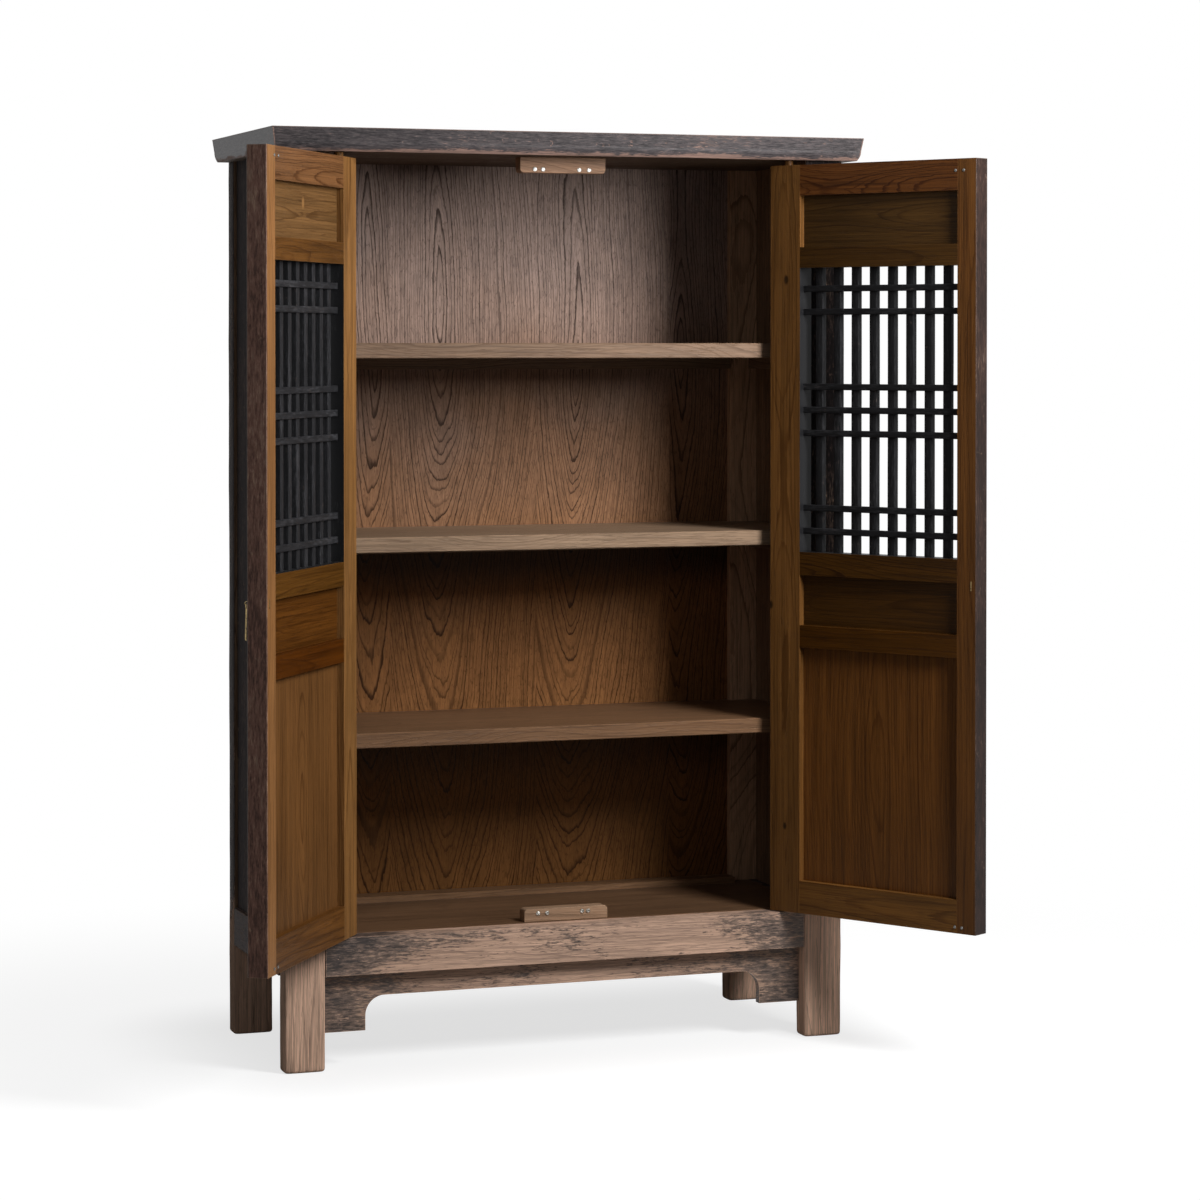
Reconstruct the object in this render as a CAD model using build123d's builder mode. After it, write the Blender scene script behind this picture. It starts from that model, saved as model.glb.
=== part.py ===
from build123d import *
import math
import os

# A tall east asian book cabinet. Two lattice doors hang on wooden pivots between four posts, over a recessed apron.
# Every piece is drawn in the closed cabinet: X across the front from the middle, Y back from the front faces of the
# posts, Z up from the floor. The doors are turned open, and all pieces moved over the origin, when they are written.

os.makedirs("parts", exist_ok=True)

# ---- the cabinet ----
HEIGHT = 1800.0
BODY_WIDTH = 1152.0
BODY_DEPTH = 455.0
POST_WIDTH = 81.0
POST_DEPTH = 48.0
POST_BEVEL = 2.0
FOOT_BEVEL = 2.5

# ---- the top ----
TOP_THICKNESS = 45.0
TOP_SIDE_OVERHANG = 31.0
TOP_FRONT_OVERHANG = 35.5
TOP_MEMBER_WIDTH = 100.0
TOP_LEAN = 4.4
TOP_LEAN_HEIGHT = 26.0
TOP_UNDERCUT = 10.9
TOP_BOARD_SINK = 0.5
TOP_TONGUE = 10.0

# ---- the bottom rails, the apron and the bottom board ----
RAIL_BOTTOM = 181.0
FRONT_RAIL_TOP = 254.5
SIDE_RAIL_TOP = 256.0
RAIL_THICKNESS = 40.0
RAIL_SETBACK = 2.0
BOARD_TOP = 256.0
BOARD_THICKNESS = 20.0
APRON_SETBACK = 30.0
APRON_THICKNESS = 18.0
APRON_UNDERSIDE = 134.8
APRON_FOOT_BOTTOM = 68.5
APRON_FOOT_WIDTH = 86.0
APRON_CUSP_RADIUS = 38.0

# ---- panels, back and shelves ----
SIDE_PANEL_RECESS = 8.0
SIDE_PANEL_THICKNESS = 12.0
BACK_SETBACK = 33.0
BACK_THICKNESS = 12.0
BACK_JOINTS = (-246.0, 70.0, 365.0)
BATTEN_DEPTH = 47.0
BATTEN_HEIGHT = 12.0
SHELF_TOPS = (637.8, 1015.4, 1391.0)
SHELF_NAMES = ("shelf_lower", "shelf_middle", "shelf_upper")
SHELF_THICKNESS = 29.5
SHELF_FRONT = 54.0
SHELF_BEVEL = 1.5
BEARER_WIDTH = 18.0
BEARER_HEIGHT = 24.0
BEARER_FRONT = 62.0

# ---- the doors ----
DOOR_BOTTOM_GAP = 2.5
DOOR_TOP_GAP = 10.5
DOOR_THICKNESS = 38.5
DOOR_SETBACK = 0.5
HINGE_GAP = 3.5
MEETING_GAP = 2.4
HINGE_STILE_WIDTH = 73.5
FREE_STILE_WIDTH = 43.0
BOTTOM_RAIL_HEIGHT = 64.5
LOWER_PANEL_HEIGHT = 465.0
LOWER_RAIL_HEIGHT = 44.0
MIDDLE_PANEL_HEIGHT = 100.0
LOCK_RAIL_HEIGHT = 46.0
UPPER_RAIL_HEIGHT = 41.0
UPPER_PANEL_HEIGHT = 102.5
TOP_RAIL_HEIGHT = 60.5
ARRIS_ROUND = 3.0
EDGE_BEVEL = 1.2
LEFT_OPEN = 124.5
RIGHT_OPEN = 120.8

# ---- the wooden pivots ----
PIVOT_FROM_EDGE = 26.8
PIVOT_FROM_FACE = 12.6
PIVOT_RADIUS = 9.0
PIVOT_PLAY = 0.08
LOWER_PIVOT_LENGTH = 10.0
UPPER_PIVOT_GRIP = 14.0
LIFT_SPACE = 11.0

# ---- door panels and lattice ----
PANEL_THICKNESS = 10.0
PANEL_DEPTH = 14.5
TONGUE_THICKNESS = 6.0
TONGUE_LENGTH = 6.5
UPRIGHT_COUNT = 8
UPRIGHT_WIDTH = 16.0
UPRIGHT_DEPTH = 9.5
LATTICE_BAR_HEIGHT = 12.5
LATTICE_BAR_DEPTH = 13.5
LATTICE_THICKNESS = 13.0
LATTICE_PITCH = 46.0
LATTICE_END = 41.5
HOUSING = 6.0

# ---- joints and fits ----
TENON_LENGTH = 28.0
TENON_THICKNESS = 12.0
TENON_SHOULDER = 8.0
GROOVE_DEPTH = 8.0
BACK_TONGUE = 4.0
BACK_TONGUE_LENGTH = 6.0
FIT = 0.15
GAP = 0.3

# ---- catches and pulls ----
CATCH_FACE = 44.0
CATCH_DEPTH = 30.0
CATCH_ROUND = 9.0
CATCH_TOP_SPAN = (-90.0, 87.0)
CATCH_TOP_HEIGHT = 31.0
CATCH_BOTTOM_SPAN = (-82.0, 91.0)
CATCH_BOTTOM_HEIGHT = 25.0
CATCH_TOP_SCREW_XS = (-59.7, -42.8, 32.2, 52.4)
CATCH_TOP_SCREW_DROP = 24.0
CATCH_BOTTOM_SCREW_XS = (-53.8, -34.7, 37.7, 50.2)
CATCH_BOTTOM_SCREW_RISE = 16.0
LEFT_STRIKE_XS = ((-61.5, -40.5), (-53.8, -34.7))
LEFT_STRIKE_DROP = 17.5
RIGHT_STRIKE_XS = ((48.5, 30.1), (48.0, 31.9))
RIGHT_STRIKE_DROP = 22.5
STRIKE_RISE = 12.0
HEAD_RADIUS = 4.6
CATCH_HEAD_HEIGHT = 2.2
STRIKE_HEAD_HEIGHT = 2.4
HEAD_TAPER = 1.1
PULL_FROM_EDGE = 10.5
PULL_HEIGHT = 926.0
STRIP_WIDTH = 2.0
STRIP_THICKNESS = 1.0
EYE_RADIUS = 3.6
EYE_STANDOFF = 4.5
LEG_LENGTH = 9.0
RING_RADIUS = 4.7
RING_WIRE = 1.4
DROP_LENGTH = 66.0
DROP_NECK = 1.4
DROP_BULB = 5.5
DROP_THICKNESS = 2.6

# ---- places that follow from the sizes above ----
OUTER_X = BODY_WIDTH / 2
INNER_X = OUTER_X - POST_WIDTH
REAR_POST = BODY_DEPTH - POST_DEPTH
TOP_UNDER = HEIGHT - TOP_THICKNESS
PANEL_OUTER = OUTER_X - SIDE_PANEL_RECESS
PANEL_INNER = PANEL_OUTER - SIDE_PANEL_THICKNESS
FRONT_RAIL_Y = (RAIL_SETBACK, RAIL_SETBACK + RAIL_THICKNESS)
REAR_RAIL_Y = (BODY_DEPTH - RAIL_SETBACK - RAIL_THICKNESS, BODY_DEPTH - RAIL_SETBACK)
SIDE_RAIL_X = (-OUTER_X, -OUTER_X + RAIL_THICKNESS)
FRONT_RAIL_Z = (RAIL_BOTTOM, FRONT_RAIL_TOP)
SIDE_RAIL_Z = (RAIL_BOTTOM, SIDE_RAIL_TOP)
BACK_FACE = BODY_DEPTH - BACK_SETBACK
BACK_Y = (BACK_FACE, BACK_FACE + BACK_THICKNESS)
PANEL_BOTTOM = SIDE_RAIL_TOP - GROOVE_DEPTH
PANEL_TOP = TOP_UNDER + GROOVE_DEPTH - GAP
BOARD_TONGUE_Z = (BOARD_TOP - BOARD_THICKNESS, BOARD_TOP - BOARD_THICKNESS + GROOVE_DEPTH)
APRON_Y = (APRON_SETBACK, APRON_SETBACK + APRON_THICKNESS)
APRON_TONGUE_Y = (APRON_SETBACK + TONGUE_THICKNESS / 2, APRON_SETBACK + TONGUE_THICKNESS * 3 / 2)
APRON_TONGUE_Z = (APRON_FOOT_BOTTOM + GROOVE_DEPTH, RAIL_BOTTOM - GROOVE_DEPTH)
DOOR_Y = (DOOR_SETBACK, DOOR_SETBACK + DOOR_THICKNESS)
HINGE_EDGE = -INNER_X + HINGE_GAP
FREE_EDGE = -MEETING_GAP / 2
OPENING_X = (HINGE_EDGE + HINGE_STILE_WIDTH, FREE_EDGE - FREE_STILE_WIDTH)
PIVOT_X = HINGE_EDGE + PIVOT_FROM_EDGE
PIVOT_Y = DOOR_SETBACK + PIVOT_FROM_FACE
DOOR_BOTTOM = FRONT_RAIL_TOP + DOOR_BOTTOM_GAP
DOOR_TOP = TOP_UNDER - DOOR_TOP_GAP
BOTTOM_RAIL = (DOOR_BOTTOM, DOOR_BOTTOM + BOTTOM_RAIL_HEIGHT)
LOWER_FIELD = (BOTTOM_RAIL[1], BOTTOM_RAIL[1] + LOWER_PANEL_HEIGHT)
LOWER_RAIL = (LOWER_FIELD[1], LOWER_FIELD[1] + LOWER_RAIL_HEIGHT)
MIDDLE_FIELD = (LOWER_RAIL[1], LOWER_RAIL[1] + MIDDLE_PANEL_HEIGHT)
LOCK_RAIL = (MIDDLE_FIELD[1], MIDDLE_FIELD[1] + LOCK_RAIL_HEIGHT)
TOP_RAIL = (DOOR_TOP - TOP_RAIL_HEIGHT, DOOR_TOP)
UPPER_FIELD = (TOP_RAIL[0] - UPPER_PANEL_HEIGHT, TOP_RAIL[0])
UPPER_RAIL = (UPPER_FIELD[0] - UPPER_RAIL_HEIGHT, UPPER_FIELD[0])
LATTICE_FIELD = (LOCK_RAIL[1], UPPER_RAIL[0])
DOOR_RAILS = (BOTTOM_RAIL, LOWER_RAIL, LOCK_RAIL, UPPER_RAIL, TOP_RAIL)
DOOR_TENON_Y = (
    DOOR_SETBACK + (DOOR_THICKNESS - TENON_THICKNESS) / 2,
    DOOR_SETBACK + (DOOR_THICKNESS + TENON_THICKNESS) / 2,
)
PANEL_FIELDS = (LOWER_FIELD, MIDDLE_FIELD, UPPER_FIELD)
DOOR_PANEL_Y = (DOOR_SETBACK + PANEL_DEPTH, DOOR_SETBACK + PANEL_DEPTH + PANEL_THICKNESS)
DOOR_TONGUE_Y = (
    DOOR_PANEL_Y[0] + (PANEL_THICKNESS - TONGUE_THICKNESS) / 2,
    DOOR_PANEL_Y[1] - (PANEL_THICKNESS - TONGUE_THICKNESS) / 2,
)
UPRIGHT_Y = (DOOR_SETBACK + UPRIGHT_DEPTH, DOOR_SETBACK + UPRIGHT_DEPTH + LATTICE_THICKNESS)
LATTICE_BAR_Y = (DOOR_SETBACK + LATTICE_BAR_DEPTH, DOOR_SETBACK + LATTICE_BAR_DEPTH + LATTICE_THICKNESS)
LAP_Y = (UPRIGHT_Y[1] + LATTICE_BAR_Y[0]) / 2
UPRIGHT_GAP = (OPENING_X[1] - OPENING_X[0] - UPRIGHT_COUNT * UPRIGHT_WIDTH) / (UPRIGHT_COUNT + 1)
UPRIGHT_XS = [
    OPENING_X[0] + UPRIGHT_GAP + UPRIGHT_WIDTH / 2 + i * (UPRIGHT_GAP + UPRIGHT_WIDTH) for i in range(UPRIGHT_COUNT)
]
LATTICE_MIDDLE = (LATTICE_FIELD[0] + LATTICE_FIELD[1]) / 2
LATTICE_ZS = [
    LATTICE_FIELD[0] + LATTICE_END,
    LATTICE_FIELD[0] + LATTICE_END + LATTICE_PITCH,
    LATTICE_MIDDLE - LATTICE_PITCH,
    LATTICE_MIDDLE,
    LATTICE_MIDDLE + LATTICE_PITCH,
    LATTICE_FIELD[1] - LATTICE_END - LATTICE_PITCH,
    LATTICE_FIELD[1] - LATTICE_END,
]
LOWER_SOCKET = DOOR_BOTTOM - LOWER_PIVOT_LENGTH
UPPER_PIVOT_END = TOP_UNDER + UPPER_PIVOT_GRIP
UPPER_SOCKET = UPPER_PIVOT_END + LIFT_SPACE
CATCH_TOP_SCREW_Z = TOP_UNDER - CATCH_TOP_SCREW_DROP
CATCH_BOTTOM_SCREW_Z = BOARD_TOP + CATCH_BOTTOM_SCREW_RISE
STRIKE_BOTTOM_Z = DOOR_BOTTOM + STRIKE_RISE
PULL_X = FREE_EDGE - PULL_FROM_EDGE
EYE_Y = DOOR_SETBACK - EYE_STANDOFF
SWING_Z = PULL_HEIGHT - (EYE_RADIUS - STRIP_THICKNESS - RING_WIRE * math.sqrt(0.5) - GAP)

PIECES = []


def bar(x, y, z, mode=Mode.ADD):
    """A rectangular bar between two limits along each axis."""
    with BuildSketch(Plane.XY.offset(min(z))) as outline:
        with Locations(((x[0] + x[1]) / 2, (y[0] + y[1]) / 2)):
            Rectangle(abs(x[1] - x[0]), abs(y[1] - y[0]))
    extrude(outline.sketch, amount=abs(z[1] - z[0]), mode=mode)


def round_post(x, y, z, radius, mode=Mode.ADD):
    """A round post along Z between two limits."""
    with BuildSketch(Plane.XY.offset(min(z))) as outline:
        with Locations((x, y)):
            Circle(radius)
    extrude(outline.sketch, amount=abs(z[1] - z[0]), mode=mode)


def grown(limits, amount):
    """The same two limits, each moved outward by an amount."""
    return (limits[0] - amount, limits[1] + amount)


def footprint(points, mode=Mode.INTERSECT):
    """A polygon seen from above, through the whole thickness of the top."""
    with BuildSketch(Plane.XY.offset(TOP_UNDER)) as outline:
        with BuildLine():
            Polyline(points, close=True)
        make_face()
    extrude(outline.sketch, amount=TOP_THICKNESS, mode=mode)


def keep(part, label):
    """Names a piece of the case and keeps it for writing."""
    part.label = label
    PIECES.append(part)


def keep_pair(part, label):
    """Keeps a piece of the left side, and its mirror image for the right side."""
    keep(part, label + "_left")
    keep(part.mirror(Plane.YZ), label + "_right")


def keep_left_door(part, label):
    """Keeps a piece of the left door, turned open with the door."""
    keep(part.rotate(Axis((PIVOT_X, PIVOT_Y, 0), (0, 0, 1)), -LEFT_OPEN), "left_door_" + label)


def keep_right_door(part, label):
    """Keeps a piece of the right door, turned open with the door."""
    keep(part.rotate(Axis((-PIVOT_X, PIVOT_Y, 0), (0, 0, 1)), RIGHT_OPEN), "right_door_" + label)


def keep_door_pair(part, label):
    """Keeps a piece drawn in the left door for both doors."""
    keep_left_door(part, label)
    keep_right_door(part.mirror(Plane.YZ), label)


# ================================================================ the four posts


def post_blank(y):
    """A post of the left side with bevelled corners and foot."""
    with BuildSketch(Plane.XY) as outline:
        with Locations(((-OUTER_X - INNER_X) / 2, (y[0] + y[1]) / 2)):
            Rectangle(POST_WIDTH, y[1] - y[0])
        chamfer(outline.vertices(), POST_BEVEL)
    extrude(outline.sketch, amount=TOP_UNDER)
    chamfer(edges().group_by(Axis.Z)[0], FOOT_BEVEL)


def post_tenon(y, grow, mode):
    """The tenon of a left post that stands in the top, or the mortise for it."""
    tenon = grown((-INNER_X - TENON_LENGTH - TENON_SHOULDER, -INNER_X - TENON_SHOULDER), grow)
    bar(tenon, grown(y, grow), (TOP_UNDER, TOP_UNDER + TENON_LENGTH + grow), mode)


FRONT_POST_TENON = (TENON_SHOULDER, TENON_SHOULDER + 2 * TENON_THICKNESS)
REAR_POST_TENON = (BODY_DEPTH - TENON_SHOULDER - 2 * TENON_THICKNESS, BODY_DEPTH - TENON_SHOULDER)
SIDE_TENON_X = (-OUTER_X + TENON_THICKNESS, -OUTER_X + 2 * TENON_THICKNESS)
FRONT_TENON_Y = (RAIL_SETBACK + TENON_THICKNESS, RAIL_SETBACK + 2 * TENON_THICKNESS)
REAR_TENON_Y = (REAR_RAIL_Y[1] - 2 * TENON_THICKNESS, REAR_RAIL_Y[1] - TENON_THICKNESS)

with BuildPart() as post_front:
    post_blank((0, POST_DEPTH))
    post_tenon(FRONT_POST_TENON, 0, Mode.ADD)
    bar(
        (-INNER_X, -INNER_X - TENON_LENGTH - GAP),
        grown(FRONT_TENON_Y, FIT),
        grown(FRONT_RAIL_Z, FIT - TENON_SHOULDER),
        Mode.SUBTRACT,
    )
    bar(
        grown(SIDE_TENON_X, FIT),
        (POST_DEPTH - TENON_LENGTH - GAP, POST_DEPTH),
        grown(SIDE_RAIL_Z, FIT - 2 * TENON_SHOULDER),
        Mode.SUBTRACT,
    )
    bar(
        grown((-PANEL_OUTER, -PANEL_INNER), FIT),
        (POST_DEPTH - GROOVE_DEPTH, POST_DEPTH),
        (PANEL_BOTTOM, TOP_UNDER),
        Mode.SUBTRACT,
    )
    bar((-INNER_X, -INNER_X - GROOVE_DEPTH), grown(APRON_TONGUE_Y, FIT), grown(APRON_TONGUE_Z, FIT), Mode.SUBTRACT)
keep_pair(post_front.part, "post_front")

with BuildPart() as post_rear:
    post_blank((REAR_POST, BODY_DEPTH))
    post_tenon(REAR_POST_TENON, 0, Mode.ADD)
    bar(
        (-INNER_X, -INNER_X - TENON_LENGTH - GAP),
        grown(REAR_TENON_Y, FIT),
        grown(SIDE_RAIL_Z, FIT - 2 * TENON_SHOULDER),
        Mode.SUBTRACT,
    )
    bar(
        grown(SIDE_TENON_X, FIT),
        (REAR_POST, REAR_POST + TENON_LENGTH + GAP),
        grown(SIDE_RAIL_Z, FIT - 2 * TENON_SHOULDER),
        Mode.SUBTRACT,
    )
    bar(
        grown((-PANEL_OUTER, -PANEL_INNER), FIT),
        (REAR_POST, REAR_POST + GROOVE_DEPTH),
        (PANEL_BOTTOM, TOP_UNDER),
        Mode.SUBTRACT,
    )
    bar((-INNER_X, -INNER_X - GROOVE_DEPTH), grown(BACK_Y, FIT), (PANEL_BOTTOM, TOP_UNDER), Mode.SUBTRACT)
keep_pair(post_rear.part, "post_rear")

# ================================================================ the top: a mitred frame round a floating board

TOP_X = OUTER_X + TOP_SIDE_OVERHANG
TOP_FRONT = -TOP_FRONT_OVERHANG
FRAME_X = TOP_X - TOP_MEMBER_WIDTH
FRAME_FRONT = TOP_FRONT + TOP_MEMBER_WIDTH
FRAME_REAR = BODY_DEPTH - TOP_MEMBER_WIDTH
LEAN_Z = HEIGHT - TOP_LEAN_HEIGHT
ARC_MIDDLE = (TOP_LEAN * 0.62 + TOP_UNDERCUT * 0.38, LEAN_Z * 0.36 + TOP_UNDER * 0.64)
TOP_TONGUE_Z = (TOP_UNDER + (TOP_THICKNESS - TOP_TONGUE) / 2, TOP_UNDER + (TOP_THICKNESS + TOP_TONGUE) / 2)


def top_blank():
    """The whole top as one slab: leaning edges that round under at the front and at both sides, a plain rear edge."""
    with BuildSketch(Plane.XZ.offset(-BODY_DEPTH)) as front_outline:
        with BuildLine():
            Polyline(
                (-TOP_X + TOP_LEAN, LEAN_Z),
                (-TOP_X, HEIGHT),
                (TOP_X, HEIGHT),
                (TOP_X - TOP_LEAN, LEAN_Z),
            )
            ThreePointArc(
                (TOP_X - TOP_LEAN, LEAN_Z), (TOP_X - ARC_MIDDLE[0], ARC_MIDDLE[1]), (TOP_X - TOP_UNDERCUT, TOP_UNDER)
            )
            Line((TOP_X - TOP_UNDERCUT, TOP_UNDER), (-TOP_X + TOP_UNDERCUT, TOP_UNDER))
            ThreePointArc(
                (-TOP_X + TOP_UNDERCUT, TOP_UNDER), (-TOP_X + ARC_MIDDLE[0], ARC_MIDDLE[1]), (-TOP_X + TOP_LEAN, LEAN_Z)
            )
        make_face()
    extrude(front_outline.sketch, amount=BODY_DEPTH + TOP_FRONT_OVERHANG)
    with BuildSketch(Plane.YZ.offset(-TOP_X)) as side_outline:
        with BuildLine():
            Polyline(
                (TOP_FRONT + TOP_UNDERCUT, TOP_UNDER),
                (BODY_DEPTH, TOP_UNDER),
                (BODY_DEPTH, HEIGHT),
                (TOP_FRONT, HEIGHT),
                (TOP_FRONT + TOP_LEAN, LEAN_Z),
            )
            ThreePointArc(
                (TOP_FRONT + TOP_LEAN, LEAN_Z),
                (TOP_FRONT + ARC_MIDDLE[0], ARC_MIDDLE[1]),
                (TOP_FRONT + TOP_UNDERCUT, TOP_UNDER),
            )
        make_face()
    extrude(side_outline.sketch, amount=2 * TOP_X, mode=Mode.INTERSECT)


def panel_grooves():
    """The grooves under the top that hold the upper edges of the side panels."""
    for side in (-1, 1):
        bar(
            grown((side * PANEL_INNER, side * PANEL_OUTER), side * FIT),
            (POST_DEPTH - GROOVE_DEPTH, REAR_POST + GROOVE_DEPTH),
            (TOP_UNDER, PANEL_TOP + GAP),
            Mode.SUBTRACT,
        )


def board_groove():
    """The groove round the inside of the frame that holds the tongue of the board."""
    bar(
        (-FRAME_X - TOP_TONGUE, FRAME_X + TOP_TONGUE),
        (FRAME_FRONT - TOP_TONGUE, FRAME_REAR + TOP_TONGUE),
        grown(TOP_TONGUE_Z, FIT),
        Mode.SUBTRACT,
    )


with BuildPart() as top_front_rail:
    top_blank()
    footprint([(-TOP_X, TOP_FRONT), (TOP_X, TOP_FRONT), (FRAME_X, FRAME_FRONT), (-FRAME_X, FRAME_FRONT)])
    board_groove()
    for side in (-1, 1):
        round_post(
            side * PIVOT_X, PIVOT_Y, (TOP_UNDER, UPPER_SOCKET), PIVOT_RADIUS + PIVOT_PLAY, Mode.SUBTRACT
        )
        bar(
            grown((side * (INNER_X + TENON_SHOULDER), side * (INNER_X + TENON_SHOULDER + TENON_LENGTH)), side * FIT),
            grown(FRONT_POST_TENON, FIT),
            (TOP_UNDER, TOP_UNDER + TENON_LENGTH + GAP),
            Mode.SUBTRACT,
        )
keep(top_front_rail.part, "top_front_rail")

with BuildPart() as top_rear_rail:
    top_blank()
    footprint([(-TOP_X, BODY_DEPTH), (TOP_X, BODY_DEPTH), (FRAME_X, FRAME_REAR), (-FRAME_X, FRAME_REAR)])
    board_groove()
    panel_grooves()
    bar((-INNER_X - GROOVE_DEPTH, INNER_X + GROOVE_DEPTH), grown(BACK_Y, FIT), (TOP_UNDER, PANEL_TOP + GAP), Mode.SUBTRACT)
    for side in (-1, 1):
        bar(
            grown((side * (INNER_X + TENON_SHOULDER), side * (INNER_X + TENON_SHOULDER + TENON_LENGTH)), side * FIT),
            grown(REAR_POST_TENON, FIT),
            (TOP_UNDER, TOP_UNDER + TENON_LENGTH + GAP),
            Mode.SUBTRACT,
        )
keep(top_rear_rail.part, "top_rear_rail")

with BuildPart() as top_side_rail:
    top_blank()
    footprint([(-TOP_X, TOP_FRONT), (-FRAME_X, FRAME_FRONT), (-FRAME_X, FRAME_REAR), (-TOP_X, BODY_DEPTH)])
    board_groove()
    panel_grooves()
keep(top_side_rail.part, "top_left_rail")
keep(top_side_rail.part.mirror(Plane.YZ), "top_right_rail")

with BuildPart() as top_board:
    bar((-FRAME_X, FRAME_X), (FRAME_FRONT, FRAME_REAR), (TOP_UNDER, HEIGHT - TOP_BOARD_SINK))
    bar(
        (-FRAME_X - TOP_TONGUE + GAP, FRAME_X + TOP_TONGUE - GAP),
        (FRAME_FRONT - TOP_TONGUE + GAP, FRAME_REAR + TOP_TONGUE - GAP),
        TOP_TONGUE_Z,
    )
keep(top_board.part, "top_board")

# ================================================================ the bottom rails, the apron and the bottom board

with BuildPart() as bottom_front_rail:
    bar((-INNER_X, INNER_X), FRONT_RAIL_Y, FRONT_RAIL_Z)
    bar((-INNER_X - TENON_LENGTH, INNER_X + TENON_LENGTH), FRONT_TENON_Y, grown(FRONT_RAIL_Z, -TENON_SHOULDER))
    bar((-INNER_X, INNER_X), (FRONT_RAIL_Y[1] - GROOVE_DEPTH, FRONT_RAIL_Y[1]), grown(BOARD_TONGUE_Z, FIT), Mode.SUBTRACT)
    bar((-INNER_X, INNER_X), grown(APRON_TONGUE_Y, FIT), (RAIL_BOTTOM, RAIL_BOTTOM + GROOVE_DEPTH), Mode.SUBTRACT)
    for side in (-1, 1):
        round_post(
            side * PIVOT_X, PIVOT_Y, (LOWER_SOCKET, FRONT_RAIL_TOP), PIVOT_RADIUS + PIVOT_PLAY, Mode.SUBTRACT
        )
keep(bottom_front_rail.part, "bottom_front_rail")

with BuildPart() as bottom_rear_rail:
    bar((-INNER_X, INNER_X), REAR_RAIL_Y, SIDE_RAIL_Z)
    bar((-INNER_X - TENON_LENGTH, INNER_X + TENON_LENGTH), REAR_TENON_Y, grown(SIDE_RAIL_Z, -2 * TENON_SHOULDER))
    bar((-INNER_X, INNER_X), (REAR_RAIL_Y[0], REAR_RAIL_Y[0] + GROOVE_DEPTH), grown(BOARD_TONGUE_Z, FIT), Mode.SUBTRACT)
    bar((-INNER_X, INNER_X), grown(BACK_Y, FIT), (PANEL_BOTTOM, SIDE_RAIL_TOP), Mode.SUBTRACT)
keep(bottom_rear_rail.part, "bottom_rear_rail")

with BuildPart() as bottom_side_rail:
    bar(SIDE_RAIL_X, (POST_DEPTH, REAR_POST), SIDE_RAIL_Z)
    bar(
        SIDE_TENON_X, (POST_DEPTH - TENON_LENGTH, REAR_POST + TENON_LENGTH), grown(SIDE_RAIL_Z, -2 * TENON_SHOULDER)
    )
    bar(
        (SIDE_RAIL_X[1] - GROOVE_DEPTH, SIDE_RAIL_X[1]),
        (POST_DEPTH, REAR_POST),
        grown(BOARD_TONGUE_Z, FIT),
        Mode.SUBTRACT,
    )
    bar(
        grown((-PANEL_OUTER, -PANEL_INNER), FIT),
        (POST_DEPTH, REAR_POST),
        (PANEL_BOTTOM, SIDE_RAIL_TOP),
        Mode.SUBTRACT,
    )
keep(bottom_side_rail.part, "bottom_left_rail")
keep(bottom_side_rail.part.mirror(Plane.YZ), "bottom_right_rail")

with BuildPart() as apron:
    with BuildSketch(Plane.XZ.offset(-APRON_Y[1])):
        foot = INNER_X - APRON_FOOT_WIDTH
        arch = foot - APRON_CUSP_RADIUS
        spring = APRON_UNDERSIDE - APRON_CUSP_RADIUS
        with BuildLine():
            Polyline(
                (arch, APRON_UNDERSIDE),
                (-arch, APRON_UNDERSIDE),
            )
            RadiusArc((-arch, APRON_UNDERSIDE), (-foot, spring), -APRON_CUSP_RADIUS)
            Polyline(
                (-foot, spring),
                (-foot, APRON_FOOT_BOTTOM),
                (-INNER_X, APRON_FOOT_BOTTOM),
                (-INNER_X, RAIL_BOTTOM),
                (INNER_X, RAIL_BOTTOM),
                (INNER_X, APRON_FOOT_BOTTOM),
                (foot, APRON_FOOT_BOTTOM),
                (foot, spring),
            )
            RadiusArc((foot, spring), (arch, APRON_UNDERSIDE), -APRON_CUSP_RADIUS)
        make_face()
    extrude(amount=APRON_THICKNESS)
    bar((-INNER_X, INNER_X), APRON_TONGUE_Y, (RAIL_BOTTOM, RAIL_BOTTOM + GROOVE_DEPTH - GAP))
    bar((INNER_X - GROOVE_DEPTH, INNER_X + GROOVE_DEPTH - GAP), APRON_TONGUE_Y, APRON_TONGUE_Z)
    bar((-INNER_X + GROOVE_DEPTH, -INNER_X - GROOVE_DEPTH + GAP), APRON_TONGUE_Y, APRON_TONGUE_Z)
keep(apron.part, "apron")

with BuildPart() as bottom_board:
    board_z = (BOARD_TOP - BOARD_THICKNESS, BOARD_TOP)
    bar((-INNER_X + GAP, INNER_X - GAP), (FRONT_RAIL_Y[1] + GAP, REAR_RAIL_Y[0] - GAP), board_z)
    bar((SIDE_RAIL_X[1] + GAP, -SIDE_RAIL_X[1] - GAP), (POST_DEPTH + GAP, REAR_POST - GAP), board_z)
    bar(
        (-INNER_X + GAP, INNER_X - GAP),
        (FRONT_RAIL_Y[1] - GROOVE_DEPTH + GAP, REAR_RAIL_Y[0] + GROOVE_DEPTH - GAP),
        BOARD_TONGUE_Z,
    )
    bar(
        (SIDE_RAIL_X[1] - GROOVE_DEPTH + GAP, -SIDE_RAIL_X[1] + GROOVE_DEPTH - GAP),
        (POST_DEPTH + GAP, REAR_POST - GAP),
        BOARD_TONGUE_Z,
    )
keep(bottom_board.part, "bottom_board")

# ================================================================ side panels, back planks, batten

with BuildPart() as side_panel:
    bar(
        (-PANEL_OUTER, -PANEL_INNER),
        (POST_DEPTH - GROOVE_DEPTH + GAP, REAR_POST + GROOVE_DEPTH - GAP),
        (PANEL_BOTTOM, PANEL_TOP),
    )
keep_pair(side_panel.part, "side_panel")

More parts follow.
